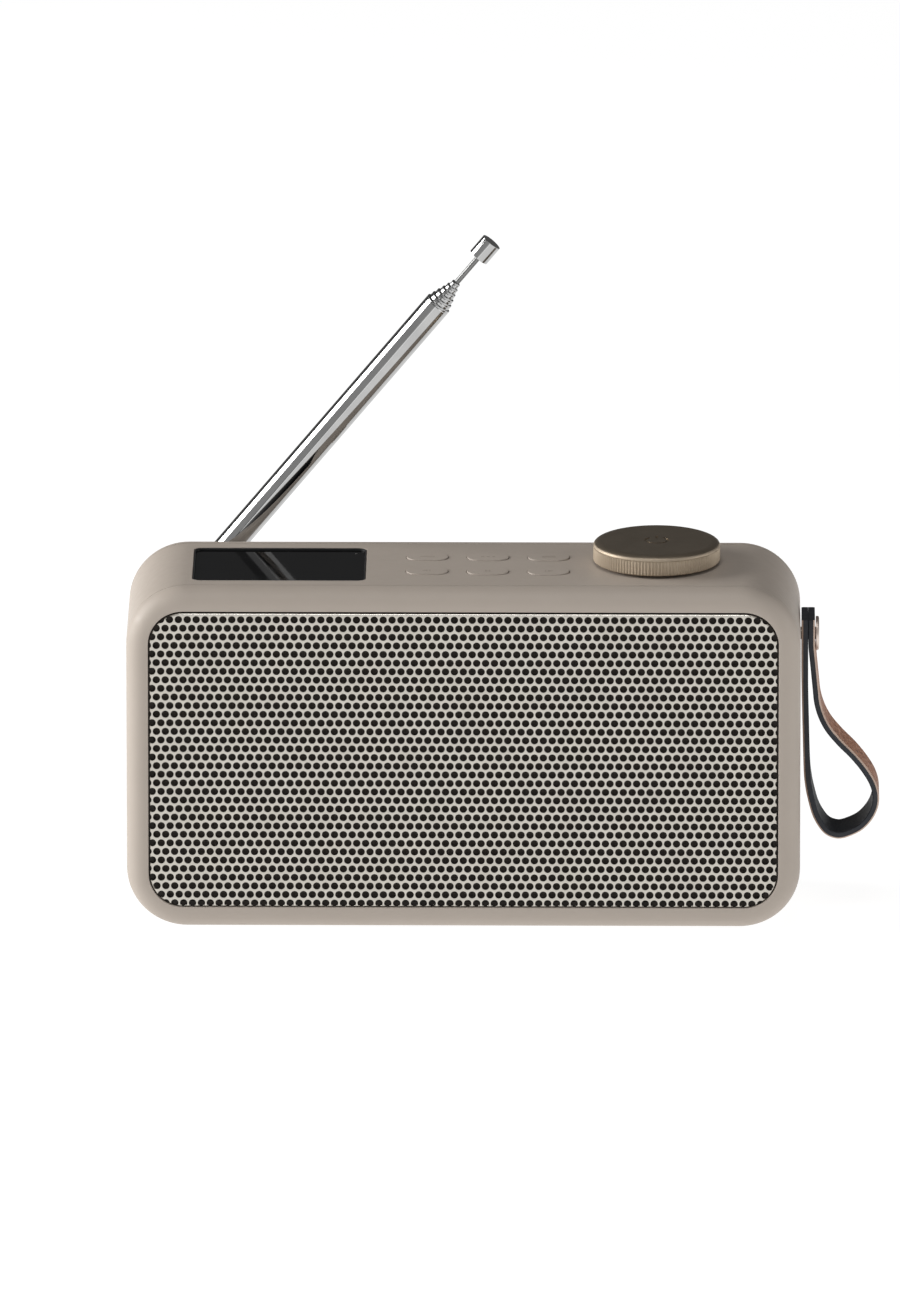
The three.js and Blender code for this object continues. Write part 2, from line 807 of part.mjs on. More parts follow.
const caseGroup = new THREE.Group();
caseGroup.position.z = footHeight + halfHeight;
caseGroup.rotation.x = right;
addCase(caseGroup);
addLoudspeakers(caseGroup);
addElectronics(caseGroup);

const topGroup = new THREE.Group();
topGroup.position.z = footHeight + caseHeight;
addControls(topGroup);

const antennaGroup = new THREE.Group();
antennaGroup.position.set(pivotX, halfDepth + antennaStandoff, footHeight + pivotHeight);
antennaGroup.rotation.y = -antennaAngle;
addAntenna(antennaGroup);

const strapGroup = new THREE.Group();
strapGroup.position.set(halfWidth, 0, footHeight + studHeight);
strapGroup.rotation.x = right;
addStrap(strapGroup);

radio.add(caseGroup, topGroup, antennaGroup, strapGroup);
const footPad = plate(footLength, footWidth, footWidth / 2 - 0.1, 0, footHeight - 0.05, 6);
piece(radio, 'foot_pad', footPad, finishes.rubber);

export default radio;
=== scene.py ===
import json
import math

import bmesh
import bpy
from mathutils import Matrix, Vector


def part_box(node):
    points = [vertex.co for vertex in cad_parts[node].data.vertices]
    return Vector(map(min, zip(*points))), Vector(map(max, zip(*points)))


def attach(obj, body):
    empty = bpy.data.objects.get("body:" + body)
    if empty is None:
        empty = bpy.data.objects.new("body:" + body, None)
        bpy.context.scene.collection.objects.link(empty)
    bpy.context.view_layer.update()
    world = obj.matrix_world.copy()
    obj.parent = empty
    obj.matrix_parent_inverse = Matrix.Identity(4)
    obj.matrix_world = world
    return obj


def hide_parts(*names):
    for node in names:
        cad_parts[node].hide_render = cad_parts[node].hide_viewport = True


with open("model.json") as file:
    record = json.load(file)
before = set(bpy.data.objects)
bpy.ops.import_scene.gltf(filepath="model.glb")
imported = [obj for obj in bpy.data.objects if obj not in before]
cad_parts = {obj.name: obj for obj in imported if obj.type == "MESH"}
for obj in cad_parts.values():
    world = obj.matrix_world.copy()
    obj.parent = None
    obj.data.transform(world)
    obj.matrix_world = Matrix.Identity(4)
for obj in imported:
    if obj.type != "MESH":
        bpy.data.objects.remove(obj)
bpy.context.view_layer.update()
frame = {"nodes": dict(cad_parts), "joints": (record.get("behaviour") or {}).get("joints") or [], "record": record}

# ---------------- places taken from the CAD

MM = 0.001
joints = {joint["name"]: joint for joint in frame["joints"]}

case_low, case_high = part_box("main_housing")
case_top = case_high.z
case_bottom = case_low.z
case_width = case_high.x - case_low.x
case_height = case_top - case_bottom
case_middle = (case_top + case_bottom) / 2
front_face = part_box("front_bezel")[0].y
back_face = -front_face

window_low, window_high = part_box("display_window")
window_middle = (window_low + window_high) / 2
knob_low, knob_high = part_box("knob")
knob_middle = (knob_low + knob_high) / 2
stud_low, stud_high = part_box("strap_stud")
stud_rise = (stud_low.z + stud_high.z) / 2
key_names = [name for name in frame["nodes"] if name.startswith("key_")]
screw_names = [name for name in frame["nodes"] if name.startswith("cover_screw")]
pivot = Vector(joints["antenna_turn"]["pos_m"])
along = Vector(joints["antenna_rod_slide"]["axis"]).normalized()

# ---------------- driving dimensions

CASE_CORNER = 19.3 * MM
CORNER_STEPS = 20
EDGE_ROUND = 6 * MM
EDGE_STEPS = 14
WALL = 2.4 * MM
SEAM_DEPTH = 7 * MM
SEAM_GAP = 0.45 * MM
SEAM_ROUND = 0.1 * MM
# The next two place the dark rings of painted shade in the seams: how far below the surface they sit and how much
# narrower than the seam they are.
SEAM_SHADE_SUNK = 0.6 * MM
SEAM_SHADE_FIT = 0.02 * MM

BEZEL_INNER = 7.05 * MM
LEDGE_INNER = 9.5 * MM
LOWER_LAND = 0.35 * MM  # how much wider the bezel's land is below the grille than above it
LEDGE_DEPTH = 5 * MM
LIP_ROUND = 0.3 * MM
LIP_STEPS = 4

HOLE_PITCH = 2.84 * MM
ROW_PITCH = 2.85 * MM
HOLE_RADIUS = 1.21 * MM
HOLE_SIDES = 16
HOLE_ROWS = 34
FIRST_ROW = 2 * MM  # from the grille's top edge to the middle of its first row of holes
GRILLE_MARGIN = 7.5 * MM
GRILLE_CORNER = 10.65 * MM
GRILLE_DROP = 0.15 * MM
GRILLE_SUNK = 0.1 * MM
GRILLE_SHEET = 0.3 * MM
GRILLE_FOLD = 0.5 * MM
FOLD_LINES = (0.08, 0.3, 0.6, 1)  # where the sheet is divided, as shares of its fold
GRILLE_CORNER_STEPS = 10
# The next two shape the dark ring of painted shade behind the gap round the grille.
GAP_SHADE_INNER = 8.9 * MM
GAP_SHADE_ROUND = 0.1 * MM

WINDOW_CORNER = 2.6 * MM
WINDOW_ROUND = 0.15 * MM
WINDOW_FRAME = 0.5 * MM
GLASS_FIT = 0.02 * MM
FRAME_SUNK = 0.08 * MM
FRAME_ROUND = 0.1 * MM
RIM_STEPS = 6
GAP_ROUND = 0.1 * MM
FIT = 0.15 * MM

OVERCUT = 1 * MM  # how far a cutter reaches past the surface that it cuts
HOLE_CORNER_STEPS = 10
SMALLEST_CORNER = 0.3 * MM
NEARLY_ROUND = 0.05 * MM  # how much less than half its width a pill's corner radius is
BUSH_HOLE = 4.8 * MM
STUD_HOLE = 2.3 * MM
SHANK_HOLE = 2.8 * MM
PIN_HOLE = 1.3 * MM

PORT_PANEL = (44 * MM, 14 * MM)
PORT_PANEL_MIDDLE = 2 * MM
PORT_PANEL_CORNER = 2.5 * MM
PORT_PANEL_ROUND = 0.25 * MM
USB_CORNER = 1.65 * MM
SCREW_GAP = 0.25 * MM
SCREW_WELL = 1.9 * MM
SCREW_HEAD = 2 * MM

KEY_PROUD = 0.3 * MM
KEY_ROUND = 0.28 * MM
KEY_REACH = 3 * MM
KEY_FLANGE = 0.8 * MM
KEY_CORNER_STEPS = 12
MARK_HEIGHT = 0.05 * MM

KNURL_TEETH = 120
KNURL_DEPTH = 0.28 * MM
TOOTH_SIDES = 4
KNOB_RIM = 3 * MM
KNOB_RIM_RISE = 1.6 * MM
KNOB_RIM_STEPS = 12
POWER_RADIUS = 3.6 * MM
POWER_STROKE = 0.8 * MM
POWER_DEPTH = 0.3 * MM
POWER_GAP = 38  # degrees on each side of the bar

ROUND_SIDES = 48
SMOOTH_ANGLE = math.radians(32)
SOFTEN_ANGLE = math.radians(40)
SAME_POINT = 1e-6  # how near to each other two points are one
ON_PLANE = 1e-7  # how near to a plane a point is on it
WAVE_LENGTH = 2 * math.pi / 20  # of the wave texture at a scale of 1

TUBE_RADII = [4.4 * MM, 3.8 * MM, 3.25 * MM, 2.62 * MM, 2.05 * MM, 1.48 * MM]
ROD_RADIUS = 0.9 * MM
TUBE_START = 9.8 * MM
TUBE_STAGGER = 1.5 * MM
TUBE_END = 132.8 * MM
TUBE_STEP = 1.75 * MM
SLIDING_GAP = 0.15 * MM
CAP_START = 152.4 * MM
CAP_LENGTH = 6.65 * MM
CAP_RADIUS = 3.4 * MM

STRAP_WIDTH = 16 * MM
STRAP_THICKNESS = 2.12 * MM
STRAP_STEPS = 220
BEVEL = 0.5 * MM
LINING_INSET = 0.25 * MM
STRAP_LOOKS = ["strap_leather", "strap_lining", "strap_edge", "strap_bevel"]

# ---------------- frames of reference

# Each maps (u, v, w) to the row frame: an outline is drawn in u and v, and w is its level.
LYING = Matrix.Identity(4)
UPRIGHT = Matrix(((1, 0, 0, 0), (0, 0, 1, 0), (0, 1, 0, 0), (0, 0, 0, 1)))
SIDEWAYS = Matrix(((0, 0, 1, 0), (1, 0, 0, 0), (0, 1, 0, 0), (0, 0, 0, 1)))


def at(x, y, z, axes=LYING):
    return Matrix.Translation((x, y, z)) @ axes


# ---------------- mesh helpers

def piece_from(name, bm, outwards=True):
    """A new object from a bmesh, with its normals turned to face outwards unless told not to."""
    if outwards:
        bmesh.ops.recalc_face_normals(bm, faces=bm.faces)
    mesh = bpy.data.meshes.new(name)
    bm.to_mesh(mesh)
    bm.free()
    piece = bpy.data.objects.new(name, mesh)
    bpy.context.scene.collection.objects.link(piece)
    return piece


def arc(u, v, radius, start, end, steps):
    """Points on a circle round (u, v), from one angle to another in degrees."""
    points = []
    for step in range(steps + 1):
        angle = math.radians(start + (end - start) * step / steps)
        points.append((u + radius * math.cos(angle), v + radius * math.sin(angle)))
    return points


def rounded_outline(width, height, radius, steps):
    """The points of a rounded rectangle round the middle, anticlockwise."""
    points = []
    for corner in range(4):
        sideways = 1 if corner in (0, 3) else -1
        upwards = 1 if corner < 2 else -1
        u = sideways * (width / 2 - radius)
        v = upwards * (height / 2 - radius)
        points += arc(u, v, radius, corner * 90, (corner + 1) * 90, steps)
    return points


def rings_around(width, height, radius, profile, steps=CORNER_STEPS):
    """One ring of points for each (inset, level) or (inset, level, corner radius)."""
    rings = []
    for inset, level, *own in profile:
        corner = own[0] if own else max(radius - inset, SMALLEST_CORNER)
        ring = rounded_outline(width - 2 * inset, height - 2 * inset, corner, steps)
        rings.append([(u, v, level) for u, v in ring])
    return rings


def lifted(ring):
    """A ring of the grille's opening with its lower side moved up by the wider lower land."""
    share = 1 - LOWER_LAND / (case_height - 2 * BEZEL_INNER)
    return [(u, v * share + LOWER_LAND / 2, level) for u, v, level in ring]


def loft(name, rings, matrix=LYING, capped=True):
    """A skin over a stack of rings. If it isn't capped, the last ring joins the first."""
    bm = bmesh.new()
    stack = [[bm.verts.new(matrix @ Vector(point)) for point in ring] for ring in rings]
    count = len(rings[0])
    bands = len(rings) - 1 if capped else len(rings)
    for band in range(bands):
        here, there = stack[band], stack[(band + 1) % len(rings)]
        for side in range(count):
            beyond = (side + 1) % count
            bm.faces.new((here[side], here[beyond], there[beyond], there[side]))
    if capped:
        bm.faces.new(stack[0])
        bm.faces.new(stack[-1])
    return piece_from(name, bm)


def turned(name, profile, matrix=LYING, sides=ROUND_SIDES, closed=False):
    """A solid turned about w from (radius, level) points; points on the axis become poles."""
    bm = bmesh.new()
    rings = []
    for radius, level in profile:
        points = arc(0, 0, radius, 0, 360, sides)[:-1] if radius else [(0, 0)]
        rings.append([bm.verts.new(matrix @ Vector((u, v, level))) for u, v in points])
    pairs = list(zip(rings, rings[1:]))
    if closed:
        pairs.append((rings[-1], rings[0]))
    for here, there in pairs:
        for side in range(sides):
            beyond = (side + 1) % sides
            corners = [here[side % len(here)], here[beyond % len(here)]]
            corners += [there[beyond % len(there)], there[side % len(there)]]
            corners = list(dict.fromkeys(corners))
            if len(corners) > 2:
                bm.faces.new(corners)
    return piece_from(name, bm)


def slab(name, outline, low, high, matrix=LYING):
    """A flat outline given a thickness, from one level to another."""
    rings = [[(u, v, level) for u, v in outline] for level in (low, high)]
    return loft(name, rings, matrix)


def merged(pieces, name):
    """Several pieces as one object, which keeps their meshes as separate shells."""
    bm = bmesh.new()
    for piece in pieces:
        bm.from_mesh(piece.data)
        bpy.data.objects.remove(piece)
    return piece_from(name, bm, outwards=False)


def drill(radius, low, high, matrix, sides=ROUND_SIDES):
    """A cutter for a round hole."""
    return turned("cutter", [(0, low), (radius, low), (radius, high), (0, high)], matrix, sides)


def cut(piece, cutters):
    """Cuts the cutters out of a piece and removes them."""
    cutter = merged(cutters, "cutter")
    modifier = piece.modifiers.new("cut", "BOOLEAN")
    modifier.object = cutter
    modifier.solver = "EXACT"
    bake_modifiers(piece)
    bpy.data.objects.remove(cutter)


def bake_modifiers(piece):
    depsgraph = bpy.context.evaluated_depsgraph_get()
    depsgraph.update()
    mesh = bpy.data.meshes.new_from_object(piece.evaluated_get(depsgraph))
    mesh.materials.clear()
    piece.modifiers.clear()
    piece.data = mesh


def smooth(piece):
    mesh = piece.data
    mesh.polygons.foreach_set("use_smooth", [True] * len(mesh.polygons))
    mesh.set_sharp_from_angle(angle=SMOOTH_ANGLE)
    modifier = piece.modifiers.new("normals", "WEIGHTED_NORMAL")
    modifier.keep_sharp = True


def soften(piece, width, segments=2):
    """Rounds every sharp edge of a piece."""
    modifier = piece.modifiers.new("edges", "BEVEL")
    modifier.width = width
    modifier.segments = segments
    modifier.limit_method = "ANGLE"
    modifier.angle_limit = SOFTEN_ANGLE
    bake_modifiers(piece)


def dress(piece, body, slot, replaces=(), looks=()):
    """Gives a piece its finishes, its smooth shading, its body and the nodes it stands for."""
    for look in looks or [slot]:
        piece.data.materials.append(materials[look])
    smooth(piece)
    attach(piece, body)
    if replaces:
        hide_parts(*replaces)


# ---------------- materials

def srgb(red, green, blue):
    """A colour given as 0 to 255 sRGB values, in linear light."""
    def linear(value):
        value = value / 255
        return value / 12.92 if value <= 0.04045 else ((value + 0.055) / 1.055) ** 2.4
    return (linear(red), linear(green), linear(blue), 1)


class Finish:
    """A procedural material whose colour, roughness and relief vary over the surface."""

    def __init__(self, name, metallic=0.0, coat=0.0):
        self.material = bpy.data.materials.new(f"{name}_finish")
        self.material.use_nodes = True
        self.tree = self.material.node_tree
        self.shader = self.tree.nodes["Principled BSDF"]
        self.shader.inputs["Metallic"].default_value = metallic
        self.shader.inputs["Coat Weight"].default_value = coat
        self.place = self.node("ShaderNodeTexCoord", {}).outputs["Object"]

    def node(self, kind, inputs, **settings):
        """A new node, each of whose inputs gets a value or the output of another node."""
        made = self.tree.nodes.new(kind)
        for key, value in settings.items():
            setattr(made, key, value)
        for key, value in inputs.items():
            if isinstance(value, bpy.types.NodeSocket):
                self.tree.links.new(value, made.inputs[key])
            else:
                made.inputs[key].default_value = value
        return made

    def drive(self, name, output):
        self.tree.links.new(output, self.shader.inputs[name])

    def mapped(self, **inputs):
        return self.node("ShaderNodeMapping", {**inputs, "Vector": self.place}).outputs["Vector"]

    def noise(self, size, detail=4, vector=None, distortion=0.0):
        """Noise whose features are about the given size, in metres."""
        return self.node("ShaderNodeTexNoise", {
            "Scale": 1 / size,
            "Detail": detail,
            "Distortion": distortion,
            "Vector": vector or self.place,
        }).outputs["Fac"]

    def cells(self, size, feature="F1"):
        inputs = {"Scale": 1 / size, "Vector": self.place}
        return self.node("ShaderNodeTexVoronoi", inputs, feature=feature).outputs["Distance"]

    def bands(self, size, direction):
        inputs = {"Scale": WAVE_LENGTH / size, "Vector": self.place}
        return self.node("ShaderNodeTexWave", inputs, bands_direction=direction).outputs["Fac"]

    def rings(self, size, vector):
        inputs = {"Scale": WAVE_LENGTH / size, "Distortion": 0.6, "Vector": vector}
        settings = {"wave_type": "RINGS", "rings_direction": "Z"}
        return self.node("ShaderNodeTexWave", inputs, **settings).outputs["Fac"]

    def multiplied(self, first, second):
        return self.node("ShaderNodeMath", {0: first, 1: second}, operation="MULTIPLY").outputs[0]

    def colour(self, factor, stops):
        """Gives the surface a colour for each factor, from (position, colour) stops."""
        made = self.node("ShaderNodeValToRGB", {"Fac": factor})
        elements = made.color_ramp.elements
        while len(elements) < len(stops):
            elements.new(0.5)
        for element, (position, colour) in zip(elements, stops):
            element.position = position
            element.color = colour
        self.drive("Base Color", made.outputs["Color"])

    def mottled(self, size, dark, light):
        """A colour that drifts between two over patches of the given size."""
        self.colour(self.noise(size), [(0.3, dark), (0.7, light)])

    def roughness(self, factor, low, high):
        limits = {"From Min": 0.3, "From Max": 0.7, "To Min": low, "To Max": high}
        made = self.node("ShaderNodeMapRange", {**limits, "Value": factor})
        self.drive("Roughness", made.outputs["Result"])

    def relief(self, height, depth, strength=0.5):
        inputs = {"Strength": strength, "Distance": depth, "Height": height}
        self.drive("Normal", self.node("ShaderNodeBump", inputs).outputs["Normal"])


def moulded(name, dark, light, roughness=(0.5, 0.62), depth=0.012 * MM):
    """Moulded plastic or rubber: a faint mottling and a fine even grain."""
    finish = Finish(name)
    finish.mottled(9 * MM, dark, light)
    finish.roughness(finish.noise(2.5 * MM), *roughness)
    finish.relief(finish.noise(0.35 * MM, detail=2), depth)
    return finish.material


def brushed(name, dark, light, roughness):
    """Metal with fine lines on it."""
    finish = Finish(name, metallic=1.0)
    lines = finish.noise(1.5 * MM, detail=3, vector=finish.mapped(Scale=(1, 1, 40)))
    finish.mottled(6 * MM, dark, light)
    finish.roughness(lines, *roughness)
    finish.relief(lines, 0.004 * MM, strength=0.35)
    return finish.material


def polished(name, dark, light):
    """Chrome plating: almost a mirror, with faint clouds and the slightest waviness."""
    finish = Finish(name, metallic=1.0)
    finish.mottled(7 * MM, dark, light)
    finish.roughness(finish.noise(4 * MM, detail=5), 0.04, 0.07)
    finish.relief(finish.noise(5 * MM, detail=1), 0.002 * MM, strength=0.1)
    return finish.material


def leather(name, stops, roughness=(0.55, 0.75), depth=0.05 * MM):
    """Leather: pores, creases and cloudy colour."""
    finish = Finish(name)
    clouds = finish.noise(1.1 * MM, detail=7, distortion=0.8)
    pores = finish.cells(0.55 * MM)
    creases = finish.noise(0.7 * MM, detail=5, distortion=1.5)
    finish.colour(clouds, stops)
    finish.roughness(creases, *roughness)
    finish.relief(finish.multiplied(pores, creases), depth, strength=0.6)
    return finish.material


def woven(name, dark, light, thread):
    """Acoustic cloth: threads over and under each other."""
    finish = Finish(name)
    threads = finish.multiplied(finish.bands(thread, "X"), finish.bands(thread, "Z"))
    finish.colour(threads, [(0.1, dark), (0.8, light)])
    finish.roughness(finish.noise(3 * MM), 0.85, 0.95)
    finish.relief(threads, 0.08 * MM, strength=0.8)
    finish.shader.inputs["Sheen Weight"].default_value = 0.15
    return finish.material


def glossy_window(name):
    """Black display glass with faint smudges."""
    finish = Finish(name)
    finish.shader.inputs["IOR"].default_value = 1.18
    finish.mottled(14 * MM, srgb(9, 9, 10), srgb(13, 13, 14))
    finish.roughness(finish.noise(7 * MM, detail=5), 0.03, 0.09)
    finish.relief(finish.noise(20 * MM, detail=1), 0.01 * MM, strength=0.1)
    return finish.material


def spun(name, dark, light, centre, roughness=(0.4, 0.48)):
    """Anodised metal turned on a lathe, with fine rings round its middle."""
    finish = Finish(name, metallic=1.0)
    rings = finish.rings(0.35 * MM, finish.mapped(Location=(-centre.x, -centre.y, 0)))
    finish.mottled(8 * MM, dark, light)
    finish.roughness(finish.noise(1.2 * MM), *roughness)
    finish.relief(rings, 0.001 * MM, strength=0.15)
    return finish.material


def circuit(name):
    """Green solder mask over fine tracks."""
    finish = Finish(name, coat=0.2)
    tracks = finish.cells(2.4 * MM, feature="DISTANCE_TO_EDGE")
    finish.colour(tracks, [(0.05, srgb(58, 120, 72)), (0.12, srgb(20, 72, 42))])
    finish.roughness(finish.noise(2 * MM), 0.35, 0.5)
    finish.relief(tracks, 0.03 * MM)
    return finish.material


# Each finish: the function that makes it, and what it is made with.
FINISHES = {
    "case_plastic": (moulded, srgb(177, 166, 155), srgb(179, 168, 157)),
    "key_plastic": (moulded, srgb(178, 167, 156), srgb(180, 169, 158), (0.45, 0.56)),
    "key_print": (moulded, srgb(158, 147, 136), srgb(163, 152, 141), (0.45, 0.56)),
    "grille_metal": (brushed, srgb(198, 193, 184), srgb(208, 203, 194), (0.36, 0.48)),
    # The next finish is the grille metal in a lighter colour for the fold along the sheet's top edge: a painted
    # highlight. Its lower roughness is not painted.
    "grille_edge": (brushed, srgb(228, 224, 216), srgb(236, 232, 225), (0.22, 0.3)),
    "grille_cloth": (woven, srgb(30, 25, 21), srgb(64, 54, 45), 0.5 * MM),
    "black_plastic": (moulded, srgb(28, 28, 29), srgb(36, 36, 37), (0.4, 0.55)),
    "window_gloss": (glossy_window,),
    "knob_metal": (spun, srgb(152, 139, 122), srgb(160, 147, 130), knob_middle),
    # The knob's side takes the knob's metal in a lighter colour: painted light on the knurled side. Its higher
    # roughness is not painted.
    "knob_side": (spun, srgb(182, 168, 149), srgb(190, 176, 157), knob_middle, (0.55, 0.65)),
    "antenna_chrome": (polished, srgb(179, 179, 179), srgb(189, 189, 188)),
    "aerial_wire": (brushed, srgb(128, 128, 127), srgb(138, 138, 137), (0.26, 0.36)),
    "steel": (brushed, srgb(176, 172, 168), srgb(194, 190, 186), (0.22, 0.34)),
    "brass": (brushed, srgb(176, 146, 84), srgb(196, 166, 102), (0.28, 0.4)),
    "strap_leather": (leather, [
        (0.3, srgb(90, 56, 41)),
        (0.46, srgb(150, 101, 76)),
        (0.58, srgb(172, 122, 95)),
        (0.7, srgb(210, 166, 138)),
    ]),
    "strap_lining": (leather, [
        (0.3, srgb(20, 22, 28)),
        (0.7, srgb(32, 36, 44)),
    ], (0.55, 0.75), 0.03 * MM),
    "strap_edge": (moulded, srgb(23, 26, 33), srgb(33, 37, 45), (0.5, 0.62)),
    "strap_bevel": (moulded, srgb(178, 152, 136), srgb(196, 172, 156), (0.5, 0.65)),
    "satin_nickel": (brushed, srgb(212, 198, 188), srgb(226, 212, 202), (0.34, 0.44)),
    # The next finish darkens the ring behind the gap round the grille: painted shade in that gap.
    "gasket_foam": (moulded, srgb(28, 24, 20), srgb(40, 34, 29), (0.8, 0.95)),
    "rubber": (moulded, srgb(34, 34, 34), srgb(44, 44, 43), (0.75, 0.9), 0.03 * MM),
    "circuit_board": (circuit,),
    "speaker_cone": (leather, [
        (0.3, srgb(30, 30, 33)),
        (0.7, srgb(44, 44, 47)),
    ], (0.75, 0.88), 0.03 * MM),
    "magnet": (brushed, srgb(96, 97, 100), srgb(112, 113, 116), (0.35, 0.5)),
    "cell_wrap": (moulded, srgb(40, 70, 122), srgb(52, 84, 140), (0.25, 0.35)),
}
materials = {name: make(name, *values) for name, (make, *values) in FINISHES.items()}

# The CAD's own nodes keep their shapes where those are right, and take these finishes.
for row in frame["record"]["materials"]:
    for name in row.get("nodes", []):
        node = frame["nodes"][name]
        node.data.materials.clear()
        node.data.materials.append(materials[row["slot"]])

# ---------------- camera, floor and lights

CAMERA_PITCH = math.radians(15.7)
CAMERA_YAW = math.radians(0.5)
CAMERA_DISTANCE = 7.9107
CAMERA_AIM = Vector((-4.248 * MM, -32 * MM, 94.046 * MM))
SENSOR = 36
LENS = 686.8
FLOOR_REACH = 6
FLOOR_GLOW = 0.92

back = Vector((
    math.sin(CAMERA_YAW) * math.cos(CAMERA_PITCH),
    -math.cos(CAMERA_YAW) * math.cos(CAMERA_PITCH),
    math.sin(CAMERA_PITCH),
))
camera_data = bpy.data.cameras.new("camera")
camera_data.sensor_width = SENSOR
camera_data.lens = LENS
camera_data.clip_end = 100
camera = bpy.data.objects.new("camera", camera_data)
bpy.context.scene.collection.objects.link(camera)
camera.location = CAMERA_AIM + back * CAMERA_DISTANCE
camera.rotation_mode = "QUATERNION"
camera.rotation_quaternion = (-back).to_track_quat("-Z", "Y")
bpy.context.scene.camera = camera

bpy.context.scene.view_settings.view_transform = "Standard"


def make_floor():
    finish = Finish("floor_paper")
    finish.mottled(400 * MM, (0.2, 0.2, 0.2, 1), (0.22, 0.22, 0.22, 1))
    finish.roughness(finish.noise(60 * MM), 0.75, 0.85)
    finish.shader.inputs["Emission Color"].default_value = (1, 1, 1, 1)
    finish.shader.inputs["Emission Strength"].default_value = FLOOR_GLOW
    bm = bmesh.new()
    bmesh.ops.create_grid(bm, x_segments=4, y_segments=4, size=FLOOR_REACH)
    floor = piece_from("floor", bm)
    floor.data.materials.append(finish.material)


def soft_light(name, place, aim, size, energy):
    data = bpy.data.lights.new(name, "AREA")
    data.shape = "RECTANGLE"
    data.size, data.size_y = size
    data.energy = energy
    light = bpy.data.objects.new(name, data)
    bpy.context.scene.collection.objects.link(light)
    light.location = place
    light.rotation_mode = "QUATERNION"
    light.rotation_quaternion = (Vector(aim) - Vector(place)).to_track_quat("-Z", "Y")


make_floor()
soft_light("key_light", (-1.3, 0.06, 0.55), (0, 0, 0.06), (0.9, 0.65), 19.5)
soft_light("fill_card", (-1.8, -1.8, 0.8), (0, 0, 0.15), (2.4, 1.2), 2.7)
soft_light("front_light", (0, -1.8, 0.62), (0, 0, 0.06), (1.5, 1.3), 2.8)
soft_light("right_light", (1.6, -0.3, 0.5), (0, 0, 0.06), (1.2, 1.0), 5.6)
soft_light("top_light", (0, -0.7, 1.7), (0, 0, 0), (0.7, 0.7), 6.8)

world = bpy.data.worlds.new("world")
world.use_nodes = True
world.node_tree.nodes["Background"].inputs["Color"].default_value = (1, 1, 1, 1)
world.node_tree.nodes["Background"].inputs["Strength"].default_value = 0.1
bpy.context.scene.world = world

# ---------------- case

def opening(width, height, corner, low, high, matrix, flare):
    """A cutter for a rounded hole that opens at its low level, with a rounded rim there."""
    side = 1 if low < high else -1
    profile = [(-flare, low - side * OVERCUT)]
    profile += arc(-flare, low + side * flare, flare, -90 * side, 0, RIM_STEPS)
    profile.append((0, high))
    rings = rings_around(width, height, corner, profile, HOLE_CORNER_STEPS)
    return loft("cutter", rings, matrix)


def make_front_bezel():
    seam = front_face + SEAM_DEPTH - SEAM_GAP / 2
    ledge = front_face + LEDGE_DEPTH
    opening_corner = GRILLE_CORNER + GRILLE_MARGIN - BEZEL_INNER
    ledge_corner = opening_corner + BEZEL_INNER - LEDGE_INNER
    outside = [(SEAM_ROUND, seam), (0, seam - SEAM_ROUND)]
    outside += arc(EDGE_ROUND, front_face + EDGE_ROUND, EDGE_ROUND, 180, 270, EDGE_STEPS)
    inside = []
    lip = arc(BEZEL_INNER - LIP_ROUND, front_face + LIP_ROUND, LIP_ROUND, 270, 360, LIP_STEPS)
    for inset, level in lip:
        inside.append((inset, level, opening_corner + BEZEL_INNER - inset))
    inside.append((BEZEL_INNER, ledge, opening_corner))
    inside.append((LEDGE_INNER, ledge, ledge_corner))
    inside.append((LEDGE_INNER, seam, ledge_corner))
    rings = rings_around(case_width, case_height, CASE_CORNER, outside)
    rings += [lifted(ring) for ring in rings_around(case_width, case_height, CASE_CORNER, inside)]
    bezel = loft("front_frame", rings, at(0, 0, case_middle, UPRIGHT), capped=False)
    dress(bezel, "root", "case_plastic", ["front_bezel"])


def key_place(name):
    """The middle, length and width of a key's cap, without the flange below it."""
    low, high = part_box(name)
    length = high.x - low.x - 2 * KEY_FLANGE
    width = high.y - low.y - 2 * KEY_FLANGE
    return (low + high) / 2, length, width


def make_housing():
    front_seam = front_face + SEAM_DEPTH + SEAM_GAP / 2
    back_seam = -front_seam
    rings = rings_around(case_width, case_height, CASE_CORNER, [
        (SEAM_ROUND, front_seam),
        (0, front_seam + SEAM_ROUND),
        (0, back_seam - SEAM_ROUND),
        (SEAM_ROUND, back_seam),
        (WALL, back_seam),
        (WALL, front_seam),
    ])
    housing = loft("housing", rings, at(0, 0, case_middle, UPRIGHT), capped=False)

    inside = case_top - WALL - OVERCUT
    width = window_high.x - window_low.x + 2 * FIT
    depth = window_high.y - window_low.y + 2 * FIT
    place = at(window_middle.x, window_middle.y, 0)
    cutters = [opening(width, depth, WINDOW_CORNER + FIT, case_top, inside, place, GAP_ROUND)]
    for name in key_names:
        middle, length, breadth = key_place(name)
        corner = breadth / 2 - NEARLY_ROUND
        place = at(middle.x, middle.y, 0)
        hole = opening(length + 2 * FIT, breadth + 2 * FIT, corner, case_top, inside, place, GAP_ROUND)
        cutters.append(hole)
    cutters.append(drill(BUSH_HOLE, inside, case_top + OVERCUT, at(knob_middle.x, knob_middle.y, 0)))
    cutters.append(drill(STUD_HOLE, -WALL - OVERCUT, OVERCUT, at(case_high.x, 0, stud_rise, SIDEWAYS)))
    cut(housing, cutters)
    dress(housing, "root", "case_plastic", ["main_housing"])


